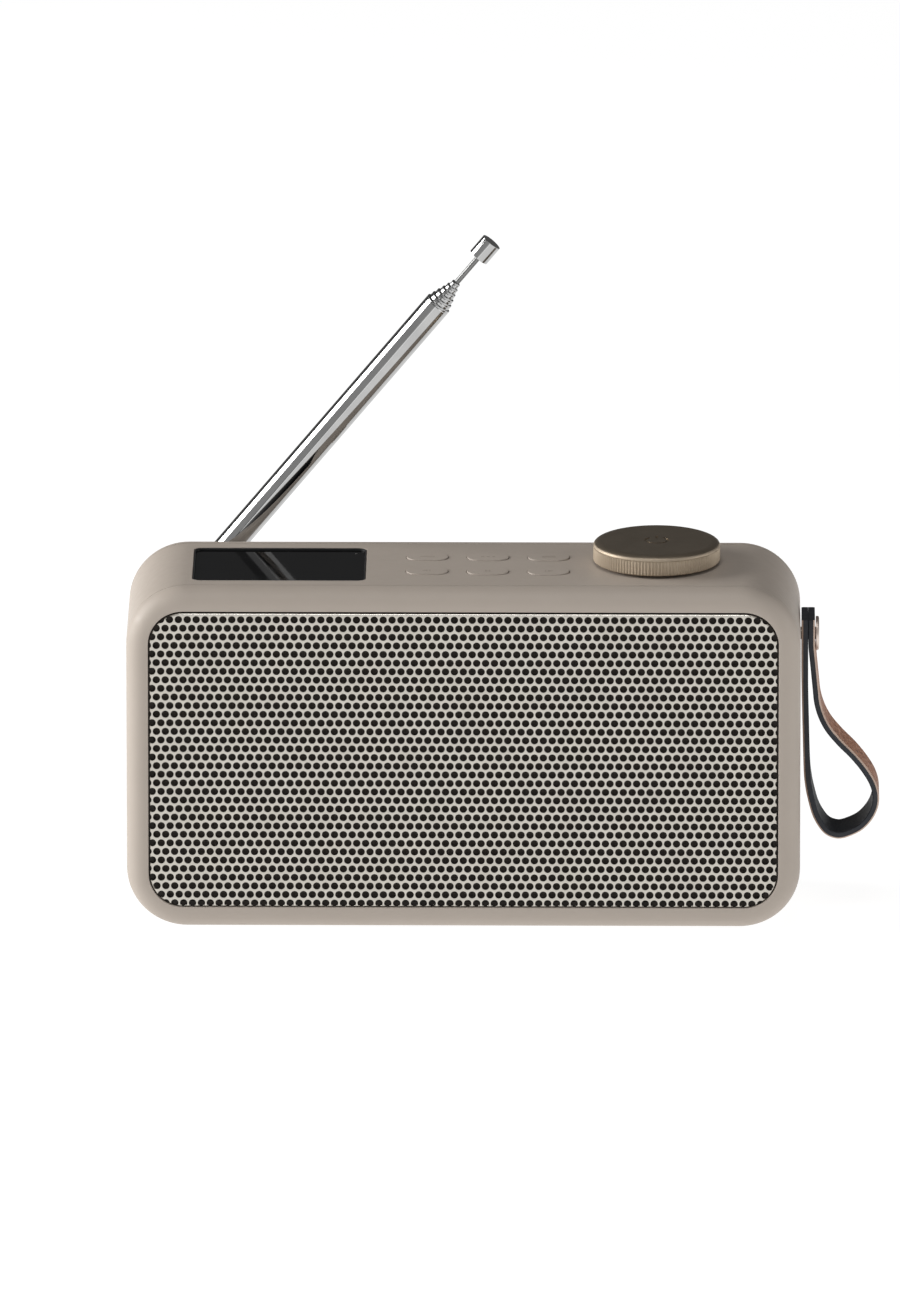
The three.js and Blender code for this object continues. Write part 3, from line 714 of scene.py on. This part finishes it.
def make_rear_cover():
    seam = back_face - SEAM_DEPTH + SEAM_GAP / 2
    bend = back_face - EDGE_ROUND
    profile = arc(EDGE_ROUND, bend, EDGE_ROUND - WALL, 90, 180, RIM_STEPS)
    profile += [(WALL, seam), (SEAM_ROUND, seam), (0, seam + SEAM_ROUND)]
    profile += arc(EDGE_ROUND, bend, EDGE_ROUND, 180, 90, EDGE_STEPS)
    rings = rings_around(case_width, case_height, CASE_CORNER, profile)
    cover = loft("rear_shell", rings, at(0, 0, case_middle, UPRIGHT))

    usb_low, usb_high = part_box("usb_socket")
    audio_low, audio_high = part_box("audio_socket")
    usb = at((usb_low.x + usb_high.x) / 2, 0, (usb_low.z + usb_high.z) / 2, UPRIGHT)
    audio = at((audio_low.x + audio_high.x) / 2, 0, (audio_low.z + audio_high.z) / 2, UPRIGHT)
    panel_floor = usb_high.y + 0.1 * MM
    panel_place = at(PORT_PANEL_MIDDLE, 0, usb.translation.z, UPRIGHT)
    cut(cover, [opening(
        *PORT_PANEL, PORT_PANEL_CORNER, back_face, panel_floor, panel_place, PORT_PANEL_ROUND
    )])

    deep = back_face - WALL - OVERCUT
    usb_width = usb_high.x - usb_low.x + 2 * FIT
    usb_height = usb_high.z - usb_low.z + 2 * FIT
    audio_radius = (audio_high.x - audio_low.x) / 2 + FIT
    holes = [
        opening(usb_width, usb_height, USB_CORNER, panel_floor + 0.3 * MM, deep, usb, GAP_ROUND),
        drill(audio_radius, deep, back_face + OVERCUT, audio),
    ]
    for name in screw_names:
        low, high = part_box(name)
        middle = (low + high) / 2
        radius = (high.x - low.x) / 2 + SCREW_GAP
        holes.append(turned("cutter", [
            (0, back_face - SCREW_WELL),
            (radius, back_face - SCREW_WELL),
            (radius, back_face - 0.3 * MM),
            (radius + 0.1 * MM, back_face - 0.1 * MM),
            (radius + 0.3 * MM, back_face),
            (radius + 0.3 * MM, back_face + OVERCUT),
            (0, back_face + OVERCUT),
        ], at(middle.x, 0, middle.z, UPRIGHT)))
    holes.append(drill(SHANK_HOLE, deep, back_face + OVERCUT, at(pivot.x, 0, pivot.z, UPRIGHT)))
    cut(cover, holes)
    dress(cover, "root", "case_plastic", ["rear_cover"])


def make_seam_shades():
    """Dark rings inside the two seams of the case, a little below its surface: painted shade in the seams."""
    half = SEAM_GAP / 2 - SEAM_SHADE_FIT
    for side, name in ((-1, "front"), (1, "rear")):
        seam = side * (back_face - SEAM_DEPTH)
        rings = rings_around(case_width, case_height, CASE_CORNER, [
            (SEAM_SHADE_SUNK, seam - half),
            (SEAM_SHADE_SUNK, seam + half),
            (WALL, seam + half),
            (WALL, seam - half),
        ])
        seam_shade_ring = loft(f"seam_painted_shade_{name}", rings, at(0, 0, case_middle, UPRIGHT), capped=False)
        # The dark rubber colour here is painted shade in the seam.
        dress(seam_shade_ring, "root", "rubber")


def make_antenna_rest():
    """The hook on the rear cover that the folded antenna lies in."""
    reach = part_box("rear_cover")[1].y - back_face
    root = -0.4 * MM
    thickness = 2 * MM
    lip = 1.2 * MM
    half_width = 4 * MM
    floor = pivot.z - TUBE_RADII[0] - 0.3 * MM
    rest = slab("antenna_rest", [
        (root, floor),
        (reach - thickness, floor),
        (reach - thickness, floor + lip),
        (reach, floor + lip),
        (reach, floor - thickness),
        (root, floor - thickness),
    ], -half_width, half_width, at(10 * MM, back_face, 0, SIDEWAYS))
    soften(rest, 0.4 * MM, 3)
    dress(rest, "root", "case_plastic")


def make_screw(name):
    low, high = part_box(name)
    middle = (low + high) / 2
    radius = (high.x - low.x) / 2
    shank = 1.5 * MM
    top = high.y
    place = at(middle.x, 0, middle.z, UPRIGHT)
    screw = turned(f"{name}_head", [
        (0, low.y),
        (shank, low.y + 1 * MM),
        (shank, top - SCREW_HEAD),
        (radius, top - SCREW_HEAD),
        (radius, top - 0.5 * MM),
        (radius - 0.15 * MM, top - 0.15 * MM),
        (radius - 0.6 * MM, top),
        (0, top),
    ], place, 32)
    arm = 1.5 * MM
    thick = 0.35 * MM
    half_cross = [(-arm, -thick), (-thick, -thick), (-thick, -arm)]
    half_cross += [(thick, -arm), (thick, -thick), (arm, -thick)]
    outline = half_cross + [(-u, -v) for u, v in half_cross]
    cut(screw, [slab("cutter", outline, top - 0.9 * MM, top + OVERCUT, place)])
    dress(screw, "root", "steel", [name])


make_front_bezel()
make_housing()
make_rear_cover()
make_seam_shades()
make_antenna_rest()
for screw_name in screw_names:
    make_screw(screw_name)

# ---------------- grille

def hole_cell(bm, u, v, reach_up, reach_down):
    """One hole of the sheet with the metal round it, as a ring of faces."""
    half = HOLE_PITCH / 2
    border = [(half, 0), (half, reach_up), (0, reach_up), (-half, reach_up)]
    border += [(-half, 0), (-half, -reach_down), (0, -reach_down), (half, -reach_down)]
    outer = [bm.verts.new((u + du, v + dv, 0)) for du, dv in border]
    round_hole = arc(u, v, HOLE_RADIUS, 0, 360, HOLE_SIDES)[:-1]
    inner = [bm.verts.new((*point, 0)) for point in round_hole]
    share = HOLE_SIDES // len(outer)
    for corner in range(len(outer)):
        beyond = (corner + 1) % len(outer)
        rim = [inner[(corner * share + step) % HOLE_SIDES] for step in range(share + 1)]
        bm.faces.new([outer[corner], outer[beyond], *reversed(rim)])


def edge_lines(width, height, radius, inset):
    """Points on the grille's outline, moved inwards, and the directions that face out there."""
    lines = [((width / 2 - inset, 0), (1, 0)), ((-width / 2 + inset, 0), (-1, 0))]
    lines += [((0, height / 2 - inset), (0, 1)), ((0, -height / 2 + inset), (0, -1))]
    for sideways in (-1, 1):
        for upwards in (-1, 1):
            for step in range(1, GRILLE_CORNER_STEPS):
                angle = step / GRILLE_CORNER_STEPS * math.pi / 2
                out = (sideways * math.cos(angle), upwards * math.sin(angle))
                u = sideways * (width / 2 - radius) + (radius - inset) * out[0]
                v = upwards * (height / 2 - radius) + (radius - inset) * out[1]
                lines.append(((u, v), out))
    return lines


def from_edge(u, v, width, height, radius):
    """How far a point of the sheet is inside its outline."""
    across = abs(u) - (width / 2 - radius)
    up = abs(v) - (height / 2 - radius)
    if across > 0 and up > 0:
        return radius - math.hypot(across, up)
    return radius - max(across, up)


def bisect(bm, line, clear):
    """Divides the sheet along a line, and drops what is outside it if asked."""
    (u, v), (du, dv) = line
    geometry = bm.verts[:] + bm.edges[:] + bm.faces[:]
    plane = {"plane_co": (u, v, 0), "plane_no": (du, dv, 0)}
    bmesh.ops.bisect_plane(bm, geom=geometry, dist=ON_PLANE, clear_outer=clear, **plane)


def make_grille():
    width = case_width - 2 * GRILLE_MARGIN
    height = case_height - 2 * GRILLE_MARGIN - LOWER_LAND
    middle = case_middle + LOWER_LAND / 2 - GRILLE_DROP
    bm = bmesh.new()
    columns = int(width / HOLE_PITCH / 2) + 2
    for row in range(HOLE_ROWS):
        v = height / 2 - FIRST_ROW - row * ROW_PITCH
        shift = (row % 2) / 2
        up = FIRST_ROW if row == 0 else ROW_PITCH / 2
        down = 2 * ROW_PITCH if row == HOLE_ROWS - 1 else ROW_PITCH / 2
        for column in range(-columns, columns + 1):
            hole_cell(bm, (column + shift) * HOLE_PITCH, v, up, down)
    bmesh.ops.remove_doubles(bm, verts=bm.verts, dist=SAME_POINT)
    bmesh.ops.triangulate(bm, faces=bm.faces)
    for line in edge_lines(width, height, GRILLE_CORNER, 0):
        bisect(bm, line, True)
    for share in FOLD_LINES:
        for line in edge_lines(width, height, GRILLE_CORNER, share * GRILLE_FOLD):
            bisect(bm, line, False)
    for vert in bm.verts:
        inside = from_edge(vert.co.x, vert.co.y, width, height, GRILLE_CORNER)
        inside = min(max(inside, 0), GRILLE_FOLD)
        vert.co.z = GRILLE_FOLD - math.sqrt(GRILLE_FOLD ** 2 - (GRILLE_FOLD - inside) ** 2)
    place = at(0, front_face + GRILLE_SUNK, middle, UPRIGHT)
    bmesh.ops.transform(bm, matrix=place, verts=bm.verts)
    grille = piece_from("grille_sheet", bm, outwards=False)
    modifier = grille.modifiers.new("thickness", "SOLIDIFY")
    modifier.thickness = GRILLE_SHEET
    modifier.offset = -1 if grille.data.polygons[0].normal.y < 0 else 1
    bake_modifiers(grille)
    # The fold faces along the top edge take the lighter finish: a painted highlight where the top light catches
    # the fold.
    painted_highlight_above = middle + height / 2 - GRILLE_FOLD
    for face in grille.data.polygons:
        face.material_index = 1 if face.center.z > painted_highlight_above else 0
    dress(grille, "root", "grille_metal", ["speaker_grille"], ["grille_metal", "grille_edge"])


def make_cloth():
    """The black acoustic cloth stretched behind the grille."""
    low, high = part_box("grille_cloth")
    width = high.x - low.x
    height = high.z - low.z
    middle = (low.y + high.y) / 2
    corner = 9 * MM
    rings = rings_around(width, height, corner, [
        (0, middle + 0.2 * MM),
        (0, middle - 0.1 * MM),
        (0.15 * MM, middle - 0.2 * MM),
    ])
    cloth = loft("acoustic_cloth", rings, at(0, 0, case_middle, UPRIGHT))
    dress(cloth, "root", "grille_cloth", ["grille_cloth"])


def make_gap_shade():
    """A dark ring right behind the grille's edge, against which the grille is pressed: painted shade in the gap
    round the grille.
    """
    outer = BEZEL_INNER + 0.05 * MM
    near = front_face + GRILLE_SUNK + GRILLE_FOLD + GRILLE_SHEET + 0.1 * MM
    far = front_face + LEDGE_DEPTH - 0.05 * MM
    rings = rings_around(case_width, case_height, GRILLE_CORNER + GRILLE_MARGIN, [
        (outer, near + GAP_SHADE_ROUND),
        (outer + GAP_SHADE_ROUND, near),
        (GAP_SHADE_INNER - GAP_SHADE_ROUND, near),
        (GAP_SHADE_INNER, near + GAP_SHADE_ROUND),
        (GAP_SHADE_INNER, far),
        (outer, far),
    ])
    rings = [lifted(ring) for ring in rings]
    gap_shade_ring = loft("grille_gap_shade", rings, at(0, 0, case_middle, UPRIGHT), capped=False)
    # The dark colour is painted shade in the gap round the grille.
    dress(gap_shade_ring, "root", "rubber", looks=["gasket_foam"])


make_grille()
make_gap_shade()
make_cloth()

# ---------------- display, keys and knob

def make_display():
    width = window_high.x - window_low.x
    depth = window_high.y - window_low.y
    top = window_high.z
    place = at(window_middle.x, window_middle.y, 0)
    inset = WINDOW_FRAME + GLASS_FIT
    glass = loft("display_glass", rings_around(width, depth, WINDOW_CORNER, [
        (inset, window_low.z),
        (inset, top - WINDOW_ROUND),
        (inset + WINDOW_ROUND * 0.3, top - WINDOW_ROUND * 0.3),
        (inset + WINDOW_ROUND, top),
    ], HOLE_CORNER_STEPS), place)
    dress(glass, "root", "window_gloss", ["display_window"])

    rim = case_top - FRAME_SUNK
    surround = loft("display_frame", rings_around(width, depth, WINDOW_CORNER, [
        (0, window_low.z),
        (0, rim - FRAME_ROUND),
        (FRAME_ROUND, rim),
        (WINDOW_FRAME - FRAME_ROUND, rim),
        (WINDOW_FRAME, rim - FRAME_ROUND),
        (WINDOW_FRAME, window_low.z),
    ], HOLE_CORNER_STEPS), place, capped=False)
    dress(surround, "root", "black_plastic")

    radius = 0.42 * MM
    sensor = turned("light_sensor", [
        (0, top - 0.1 * MM),
        (radius, top - 0.1 * MM),
        (radius, top + 0.02 * MM),
        (0, top + 0.04 * MM),
    ], at(window_high.x - 3.3 * MM, window_high.y - 4.2 * MM, 0), 20)
    dress(sensor, "root", "steel")


def make_key(name):
    middle, length, width = key_place(name)
    top = case_top + KEY_PROUD
    flange = 0.6 * MM
    flange_top = case_top - WALL - 0.3 * MM
    profile = [(-flange, case_top - KEY_REACH), (-flange, flange_top), (0, flange_top)]
    profile += arc(KEY_ROUND, top - KEY_ROUND, KEY_ROUND, 180, 90, RIM_STEPS)
    rings = rings_around(length, width, width / 2 - NEARLY_ROUND, profile, KEY_CORNER_STEPS)
    cap = loft(f"cap_{name}", rings, at(middle.x, middle.y, 0))
    dress(cap, name, "key_plastic", [name])
    mark = key_mark(name, middle, top)
    dress(mark, name, "key_plastic", looks=["key_print"])


def bar(u, v, width, height):
    """The outline of an upright rectangle round (u, v)."""
    left, right = u - width / 2, u + width / 2
    low, high = v - height / 2, v + height / 2
    return [(left, low), (right, low), (right, high), (left, high)]


def arrow(u, v, size, direction):
    """The outline of a triangle that points to the right (1) or to the left (-1)."""
    base, tip = u - direction * size / 2, u + direction * size / 2
    return [(base, v - size / 2), (tip, v), (base, v + size / 2)]


def key_mark(name, middle, top):
    """The small generic symbol printed on a key: bars and arrows, no lettering."""
    mark = 0.35 * MM
    size = 1.7 * MM
    symbols = {
        "key_rear_left": [bar(0, 0, 4.6 * MM, mark)],
        "key_rear_middle": [bar(u * MM, 0, 0.9 * MM, mark * 1.6) for u in (-1.8, 0, 1.8)],
        "key_rear_right": [bar(0, 0.5 * MM, 4.4 * MM, mark), bar(0, -0.5 * MM, 4.4 * MM, mark)],
        "key_front_left": [arrow(-0.7 * MM, 0, size, -1), bar(0.9 * MM, 0, mark, size)],
        "key_front_middle": [bar(-0.6 * MM, 0, mark * 1.4, size), bar(0.6 * MM, 0, mark * 1.4, size)],
        "key_front_right": [arrow(0.7 * MM, 0, size, 1), bar(-0.9 * MM, 0, mark, size)],
    }
    place = at(middle.x, middle.y, 0)
    low, high = top - MARK_HEIGHT, top + MARK_HEIGHT
    parts = [slab("mark", outline, low, high, place) for outline in symbols[name]]
    return merged(parts, f"symbol_{name}")


def make_knob():
    radius = (knob_high.x - knob_low.x) / 2
    core = radius - KNURL_DEPTH
    foot = knob_low.z
    top = knob_high.z
    band = top - KNOB_RIM_RISE - 0.3 * MM
    bore = 3.3 * MM
    skirt = radius - 2.2 * MM
    ceiling = foot + 0.6 * MM
    # Radius, level, and share of the knurl's depth.
    profile = [
        (bore, ceiling, 0),
        (skirt, ceiling, 0),
        (skirt, foot, 0),
        (core - 0.5 * MM, foot, 0),
        (core - 0.15 * MM, foot + 0.12 * MM, 0.4),
        (core, foot + 0.5 * MM, 1),
        (core, band - 0.4 * MM, 1),
        (core + 0.05 * MM, band, 0.5),
        (radius - 0.06 * MM, band + 0.2 * MM, 0),
    ]
    for step in range(KNOB_RIM_STEPS + 1):
        angle = step / KNOB_RIM_STEPS * math.pi / 2
        out = radius - KNOB_RIM * (1 - math.cos(angle))
        profile.append((out, top - KNOB_RIM_RISE * (1 - math.sin(angle)), 0))

    sides = KNURL_TEETH * TOOTH_SIDES
    rings = []
    for ring_radius, level, tooth in profile:
        ring = []
        for side in range(sides):
            angle = 2 * math.pi * side / sides
            crest = (1 - math.cos(2 * math.pi * side / TOOTH_SIDES)) / 2
            reach = ring_radius + tooth * KNURL_DEPTH * crest
            ring.append((reach * math.cos(angle), reach * math.sin(angle), level))
        rings.append(ring)
    knob = loft("knob_body", rings, at(knob_middle.x, knob_middle.y, 0))
    cut(knob, power_cutters(top))
    # Faces below the middle of the rim take the lighter copy of the knob's metal, painted light on the side.
    for face in knob.data.polygons:
        face.material_index = 1 if face.center.z < top - KNOB_RIM_RISE / 2 else 0
    dress(knob, "knob", "knob_metal", ["knob"], ["knob_metal", "knob_side"])


def power_cutters(top):
    """Cutters for the generic on-off symbol: an open ring and a bar in its gap."""
    place = at(knob_middle.x, knob_middle.y, 0)
    start, end = 90 + POWER_GAP, 450 - POWER_GAP
    outer = arc(0, 0, POWER_RADIUS + POWER_STROKE / 2, start, end, 40)
    inner = arc(0, 0, POWER_RADIUS - POWER_STROKE / 2, start, end, 40)
    line = bar(0, POWER_RADIUS * 0.85, POWER_STROKE, POWER_RADIUS)
    low, high = top - POWER_DEPTH, top + OVERCUT
    return [slab("cutter", outline, low, high, place) for outline in (outer + inner[::-1], line)]


make_display()
for key_name in key_names:
    make_key(key_name)
make_knob()

# ---------------- antenna

# Two frames at the antenna's pivot. In AERIAL, w runs along the tubes, u away from the case and
# v along the tilt pin. In ACROSS_PIN, w runs along the pin and u along the tubes.
pin_axis = along.cross(Vector((0, 1, 0))).normalized()
AERIAL = Matrix.Translation(pivot) @ Matrix((
    (0, pin_axis.x, along.x, 0),
    (1, pin_axis.y, along.y, 0),
    (0, pin_axis.z, along.z, 0),
    (0, 0, 0, 1),
))
ACROSS_PIN = Matrix.Translation(pivot) @ Matrix((
    (along.x, 0, pin_axis.x, 0),
    (along.y, 1, pin_axis.y, 0),
    (along.z, 0, pin_axis.z, 0),
    (0, 0, 0, 1),
))


def make_tube(number):
    """One tube, with a groove near its end and the rolled end itself."""
    radius = TUBE_RADII[number]
    within = TUBE_RADII[number + 1] if number + 1 < len(TUBE_RADII) else ROD_RADIUS
    bore = within + SLIDING_GAP
    start = TUBE_START + number * TUBE_STAGGER
    end = TUBE_END + number * TUBE_STEP
    roll = 0.3 * MM
    groove = 0.12 * MM
    tube = turned(f"aerial_stage_{number + 1}", [
        (bore, start),
        (radius - 0.1 * MM, start),
        (radius, start + 0.1 * MM),
        (radius, end - 1.05 * MM),
        (radius - groove, end - 0.9 * MM),
        (radius - groove, end - 0.8 * MM),
        (radius, end - 0.65 * MM),
        (radius, end - roll),
        (radius - 0.08 * MM, end - 0.1 * MM),
        (radius - roll, end),
        (bore, end),
    ], AERIAL, closed=True)
    name = f"antenna_tube_{number + 1}"
    dress(tube, name, "antenna_chrome", [name])


def make_rod_and_cap():
    start = TUBE_START + len(TUBE_RADII) * TUBE_STAGGER
    end = CAP_START + 2.9 * MM
    profile = [(0, start), (ROD_RADIUS, start), (ROD_RADIUS, end), (0, end)]
    rod = turned("aerial_rod", profile, AERIAL, 24)
    dress(rod, "antenna_rod", "antenna_chrome", ["antenna_rod"], ["aerial_wire"])

    end = CAP_START + CAP_LENGTH
    socket = 1.2 * MM
    socket_end = CAP_START + 3.2 * MM
    chamfer = 0.15 * MM
    corner = 0.04 * MM
    cap = turned("aerial_cap", [
        (0, socket_end),
        (socket, socket_end),
        (socket, CAP_START),
        (CAP_RADIUS - chamfer, CAP_START),
        (CAP_RADIUS - corner, CAP_START + corner),
        (CAP_RADIUS, CAP_START + chamfer),
        (CAP_RADIUS, end - chamfer),
        (CAP_RADIUS - corner, end - corner),
        (CAP_RADIUS - chamfer, end),
        (0, end),
    ], AERIAL)
    dress(cap, "antenna_rod", "antenna_chrome", ["antenna_cap"])


def pin_hole():
    return drill(PIN_HOLE, -8 * MM, 8 * MM, ACROSS_PIN, 32)


def make_knuckle():
    """The folding joint at the antenna's foot: the swivel with its ears, the tongue and the pin."""
    seat = back_face + 0.3 * MM
    disc_top = seat + 1 * MM
    disc_radius = 6.5 * MM
    stem = 2.5 * MM
    swivel = turned("swivel_disc", [
        (0, seat - 5 * MM),
        (stem, seat - 5 * MM),
        (stem, seat),
        (disc_radius - 0.1 * MM, seat),
        (disc_radius, seat + 0.1 * MM),
        (disc_radius, disc_top - 0.3 * MM),
        (disc_radius - 0.1 * MM, disc_top - 0.1 * MM),
        (disc_radius - 0.4 * MM, disc_top),
        (0, disc_top),
    ], at(pivot.x, 0, pivot.z, UPRIGHT))
    dress(swivel, "antenna_swivel", "steel", ["antenna_swivel"])

    ear_gap = 2.4 * MM
    ear_thickness = 1.8 * MM
    ear_radius = 3.6 * MM
    foot = disc_top - 0.1 * MM - pivot.y
    outline = arc(0, 0, ear_radius, 0, 180, 24) + [(-ear_radius, foot), (ear_radius, foot)]
    for side, name in ((1, "upper"), (-1, "lower")):
        near, far = side * ear_gap, side * (ear_gap + ear_thickness)
        ear = slab(f"swivel_ear_{name}", outline, min(near, far), max(near, far), ACROSS_PIN)
        cut(ear, [pin_hole()])
        soften(ear, 0.3 * MM)
        dress(ear, "antenna_swivel", "steel")

    tongue_radius = 3.3 * MM
    tongue_reach = 7.4 * MM
    half_tongue = 2.1 * MM
    outline = arc(0, 0, tongue_radius, 90, 270, 20)
    outline += [(tongue_reach, -tongue_radius), (tongue_reach, tongue_radius)]
    tongue = slab("aerial_tongue", outline, -half_tongue, half_tongue, ACROSS_PIN)
    cut(tongue, [pin_hole()])
    soften(tongue, 0.3 * MM)
    dress(tongue, "antenna_tube_1", "antenna_chrome", ["antenna_root"])

    collar = turned("aerial_collar", [
        (0, 7.2 * MM),
        (3.8 * MM, 7.2 * MM),
        (4.4 * MM, 7.7 * MM),
        (4.4 * MM, 9.5 * MM),
        (0, 9.5 * MM),
    ], AERIAL)
    dress(collar, "antenna_tube_1", "antenna_chrome")

    head = 4.6 * MM
    pin_radius = 1.1 * MM
    chamfer_radius = 0.8 * MM
    pin = turned("aerial_pin", [
        (0, -head),
        (chamfer_radius, -head),
        (pin_radius, -head + 0.25 * MM),
        (pin_radius, head - 0.25 * MM),
        (chamfer_radius, head),
        (0, head),
    ], ACROSS_PIN, 32)
    dress(pin, "antenna_swivel", "steel", ["antenna_pin"])


for tube_number in range(len(TUBE_RADII)):
    make_tube(tube_number)
make_rod_and_cap()
make_knuckle()

# ---------------- strap

# The loop's middle line: distance from the case's side and rise from the stud, in millimetres.
STRAP_LINE = [
    (1.38, 6.4), (1.38, 3.2), (1.38, 0), (1.4, -6), (1.47, -16.7), (1.8, -30), (2.2, -43.3),
    (2.7, -48.6), (3.5, -52.8), (5.0, -58.2), (7.1, -62.1), (9.2, -64.3), (12.3, -65.3), (15.4, -64.6),
    (19.3, -62.6), (22.3, -59.3), (24.0, -55.6), (24.3, -51.8), (23.2, -47.7), (20.6, -43.3),
    (17.0, -38.8), (12.7, -34.4), (9.1, -30), (6.8, -25.6), (5.5, -21.1), (5.0, -16.7),
    (4.5, -11.7), (4.0, -6.7), (3.62, -3), (3.54, 0), (3.54, 3.2), (3.54, 6.4),
]


def smooth_line(points, steps):
    """Evenly spaced points along a smooth curve through the given points."""
    dense = []
    last = len(points) - 1
    for number in range(last):
        a = Vector(points[max(number - 1, 0)])
        b = Vector(points[number])
        c = Vector(points[number + 1])
        d = Vector(points[min(number + 2, last)])
        for part in range(24):
            t = part / 24
            bend = (2 * a - 5 * b + 4 * c - d) * t ** 2 + (3 * b - a - 3 * c + d) * t ** 3
            dense.append(0.5 * (2 * b + (c - a) * t + bend))
    dense.append(Vector(points[-1]))
    lengths = [0.0]
    for here, there in zip(dense, dense[1:]):
        lengths.append(lengths[-1] + (there - here).length)
    line, place = [], 0
    for step in range(steps + 1):
        wanted = lengths[-1] * step / steps
        while place < len(lengths) - 2 and lengths[place + 1] < wanted:
            place += 1
        share = (wanted - lengths[place]) / (lengths[place + 1] - lengths[place])
        line.append(dense[place].lerp(dense[place + 1], min(max(share, 0), 1)))
    return line


def strap_section():
    """The band's section as (outwards, sideways, finish of the side that starts there)."""
    face, lining, edge, bevel = range(len(STRAP_LOOKS))
    half = STRAP_WIDTH / 2
    out = STRAP_THICKNESS / 2
    across = 8
    face_half = half - BEVEL
    lining_half = half - LINING_INSET
    section = [(out, -face_half + 2 * face_half * step / across, face) for step in range(across)]
    section.append((out, face_half, bevel))
    section.append((out - BEVEL, half, edge))
    section.append((0, half, edge))
    section.append((-out + LINING_INSET, half, edge))
    for step in range(across + 1):
        section.append((-out, lining_half - 2 * lining_half * step / across, lining))
    section.append((-out + LINING_INSET, -half, edge))
    section.append((0, -half, edge))
    section.append((out - BEVEL, -half, bevel))
    return section


def make_strap():
    line = smooth_line([(out * MM, rise * MM) for out, rise in STRAP_LINE], STRAP_STEPS)
    section = strap_section()
    bm = bmesh.new()
    rings = []
    for number, place in enumerate(line):
        ahead = line[min(number + 1, len(line) - 1)]
        behind = line[max(number - 1, 0)]
        tangent = (ahead - behind).normalized()
        outwards = Vector((tangent.y, -tangent.x))
        ring = []
        for out, sideways, _ in section:
            point = place + outwards * out
            ring.append(bm.verts.new((case_high.x + point.x, sideways, stud_rise + point.y)))
        rings.append(ring)
    for here, there in zip(rings, rings[1:]):
        for side, (_, _, finish) in enumerate(section):
            beyond = (side + 1) % len(section)
            band = bm.faces.new((here[side], here[beyond], there[beyond], there[side]))
            band.material_index = finish
    for ring in (rings[0], rings[-1]):
        end = bm.faces.new(ring)
        end.material_index = STRAP_LOOKS.index("strap_edge")
    strap = piece_from("leather_loop", bm)
    dress(strap, "strap", "strap_leather", ["strap"], STRAP_LOOKS)


def make_stud():
    radius = 5.5 * MM
    shank = 2 * MM
    foot = stud_high.x - 1.1 * MM
    top = stud_high.x
    stud = turned("stud_head", [
        (0, stud_low.x),
        (shank, stud_low.x),
        (shank, foot),
        (radius - 0.15 * MM, foot),
        (radius, foot + 0.15 * MM),
        (radius, top - 0.45 * MM),
        (radius - 0.12 * MM, top - 0.2 * MM),
        (radius - 0.4 * MM, top - 0.04 * MM),
        (radius - 0.8 * MM, top),
        (0, top),
    ], at(0, 0, stud_rise, SIDEWAYS))
    dress(stud, "root", "steel", ["strap_stud"], ["satin_nickel"])


make_strap()
make_stud()

# ---------------- foot and sockets

def make_foot():
    low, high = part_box("foot_pad")
    width = high.x - low.x
    depth = high.y - low.y
    chamfer = 0.25 * MM
    corner = 0.07 * MM
    foot = loft("rubber_foot", rings_around(width, depth, depth / 2 - NEARLY_ROUND, [
        (chamfer, low.z),
        (corner, low.z + corner),
        (0, low.z + chamfer),
        (0, high.z),
    ], 16))
    dress(foot, "root", "rubber", ["foot_pad"])


def make_sockets():
    low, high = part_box("usb_socket")
    middle = (low + high) / 2
    width = high.x - low.x
    height = high.z - low.z
    wall = 0.35 * MM
    floor = low.y + 1.5 * MM
    place = at(middle.x, 0, middle.z, UPRIGHT)
    shell = loft("usb_shell", rings_around(width, height, height / 2 - NEARLY_ROUND, [
        (0, low.y),
        (0, high.y - 0.12 * MM),
        (0.1 * MM, high.y),
        (wall, high.y - 0.1 * MM),
        (wall, floor),
    ], HOLE_CORNER_STEPS), place)
    dress(shell, "root", "steel", ["usb_socket"])
    tongue = loft("usb_tongue", rings_around(width - 2.6 * MM, 0.75 * MM, 0.3 * MM, [
        (0, floor),
        (0, high.y - 0.9 * MM),
        (0.12 * MM, high.y - 0.75 * MM),
    ], 4), place)
    dress(tongue, "root", "black_plastic")

    low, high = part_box("audio_socket")
    middle = (low + high) / 2
    radius = (high.x - low.x) / 2
    bore = 1.8 * MM
    place = at(middle.x, 0, middle.z, UPRIGHT)
    jack = turned("audio_jack", [
        (0, low.y),
        (radius, low.y),
        (radius, high.y - 0.15 * MM),
        (radius - 0.15 * MM, high.y),
        (bore + 0.3 * MM, high.y),
        (bore, high.y - 0.3 * MM),
        (bore, low.y + 1 * MM),
        (0, low.y + 1 * MM),
    ], place)
    dress(jack, "root", "black_plastic", ["audio_socket"])
    contact_outer = bore - 0.05 * MM
    contact_inner = bore - 0.3 * MM
    contact = turned("audio_contact", [
        (contact_outer, high.y - 1.6 * MM),
        (contact_outer, high.y - 0.8 * MM),
        (contact_inner, high.y - 0.9 * MM),
        (contact_inner, high.y - 1.5 * MM),
    ], place, closed=True)
    dress(contact, "root", "brass")


make_foot()
make_sockets()
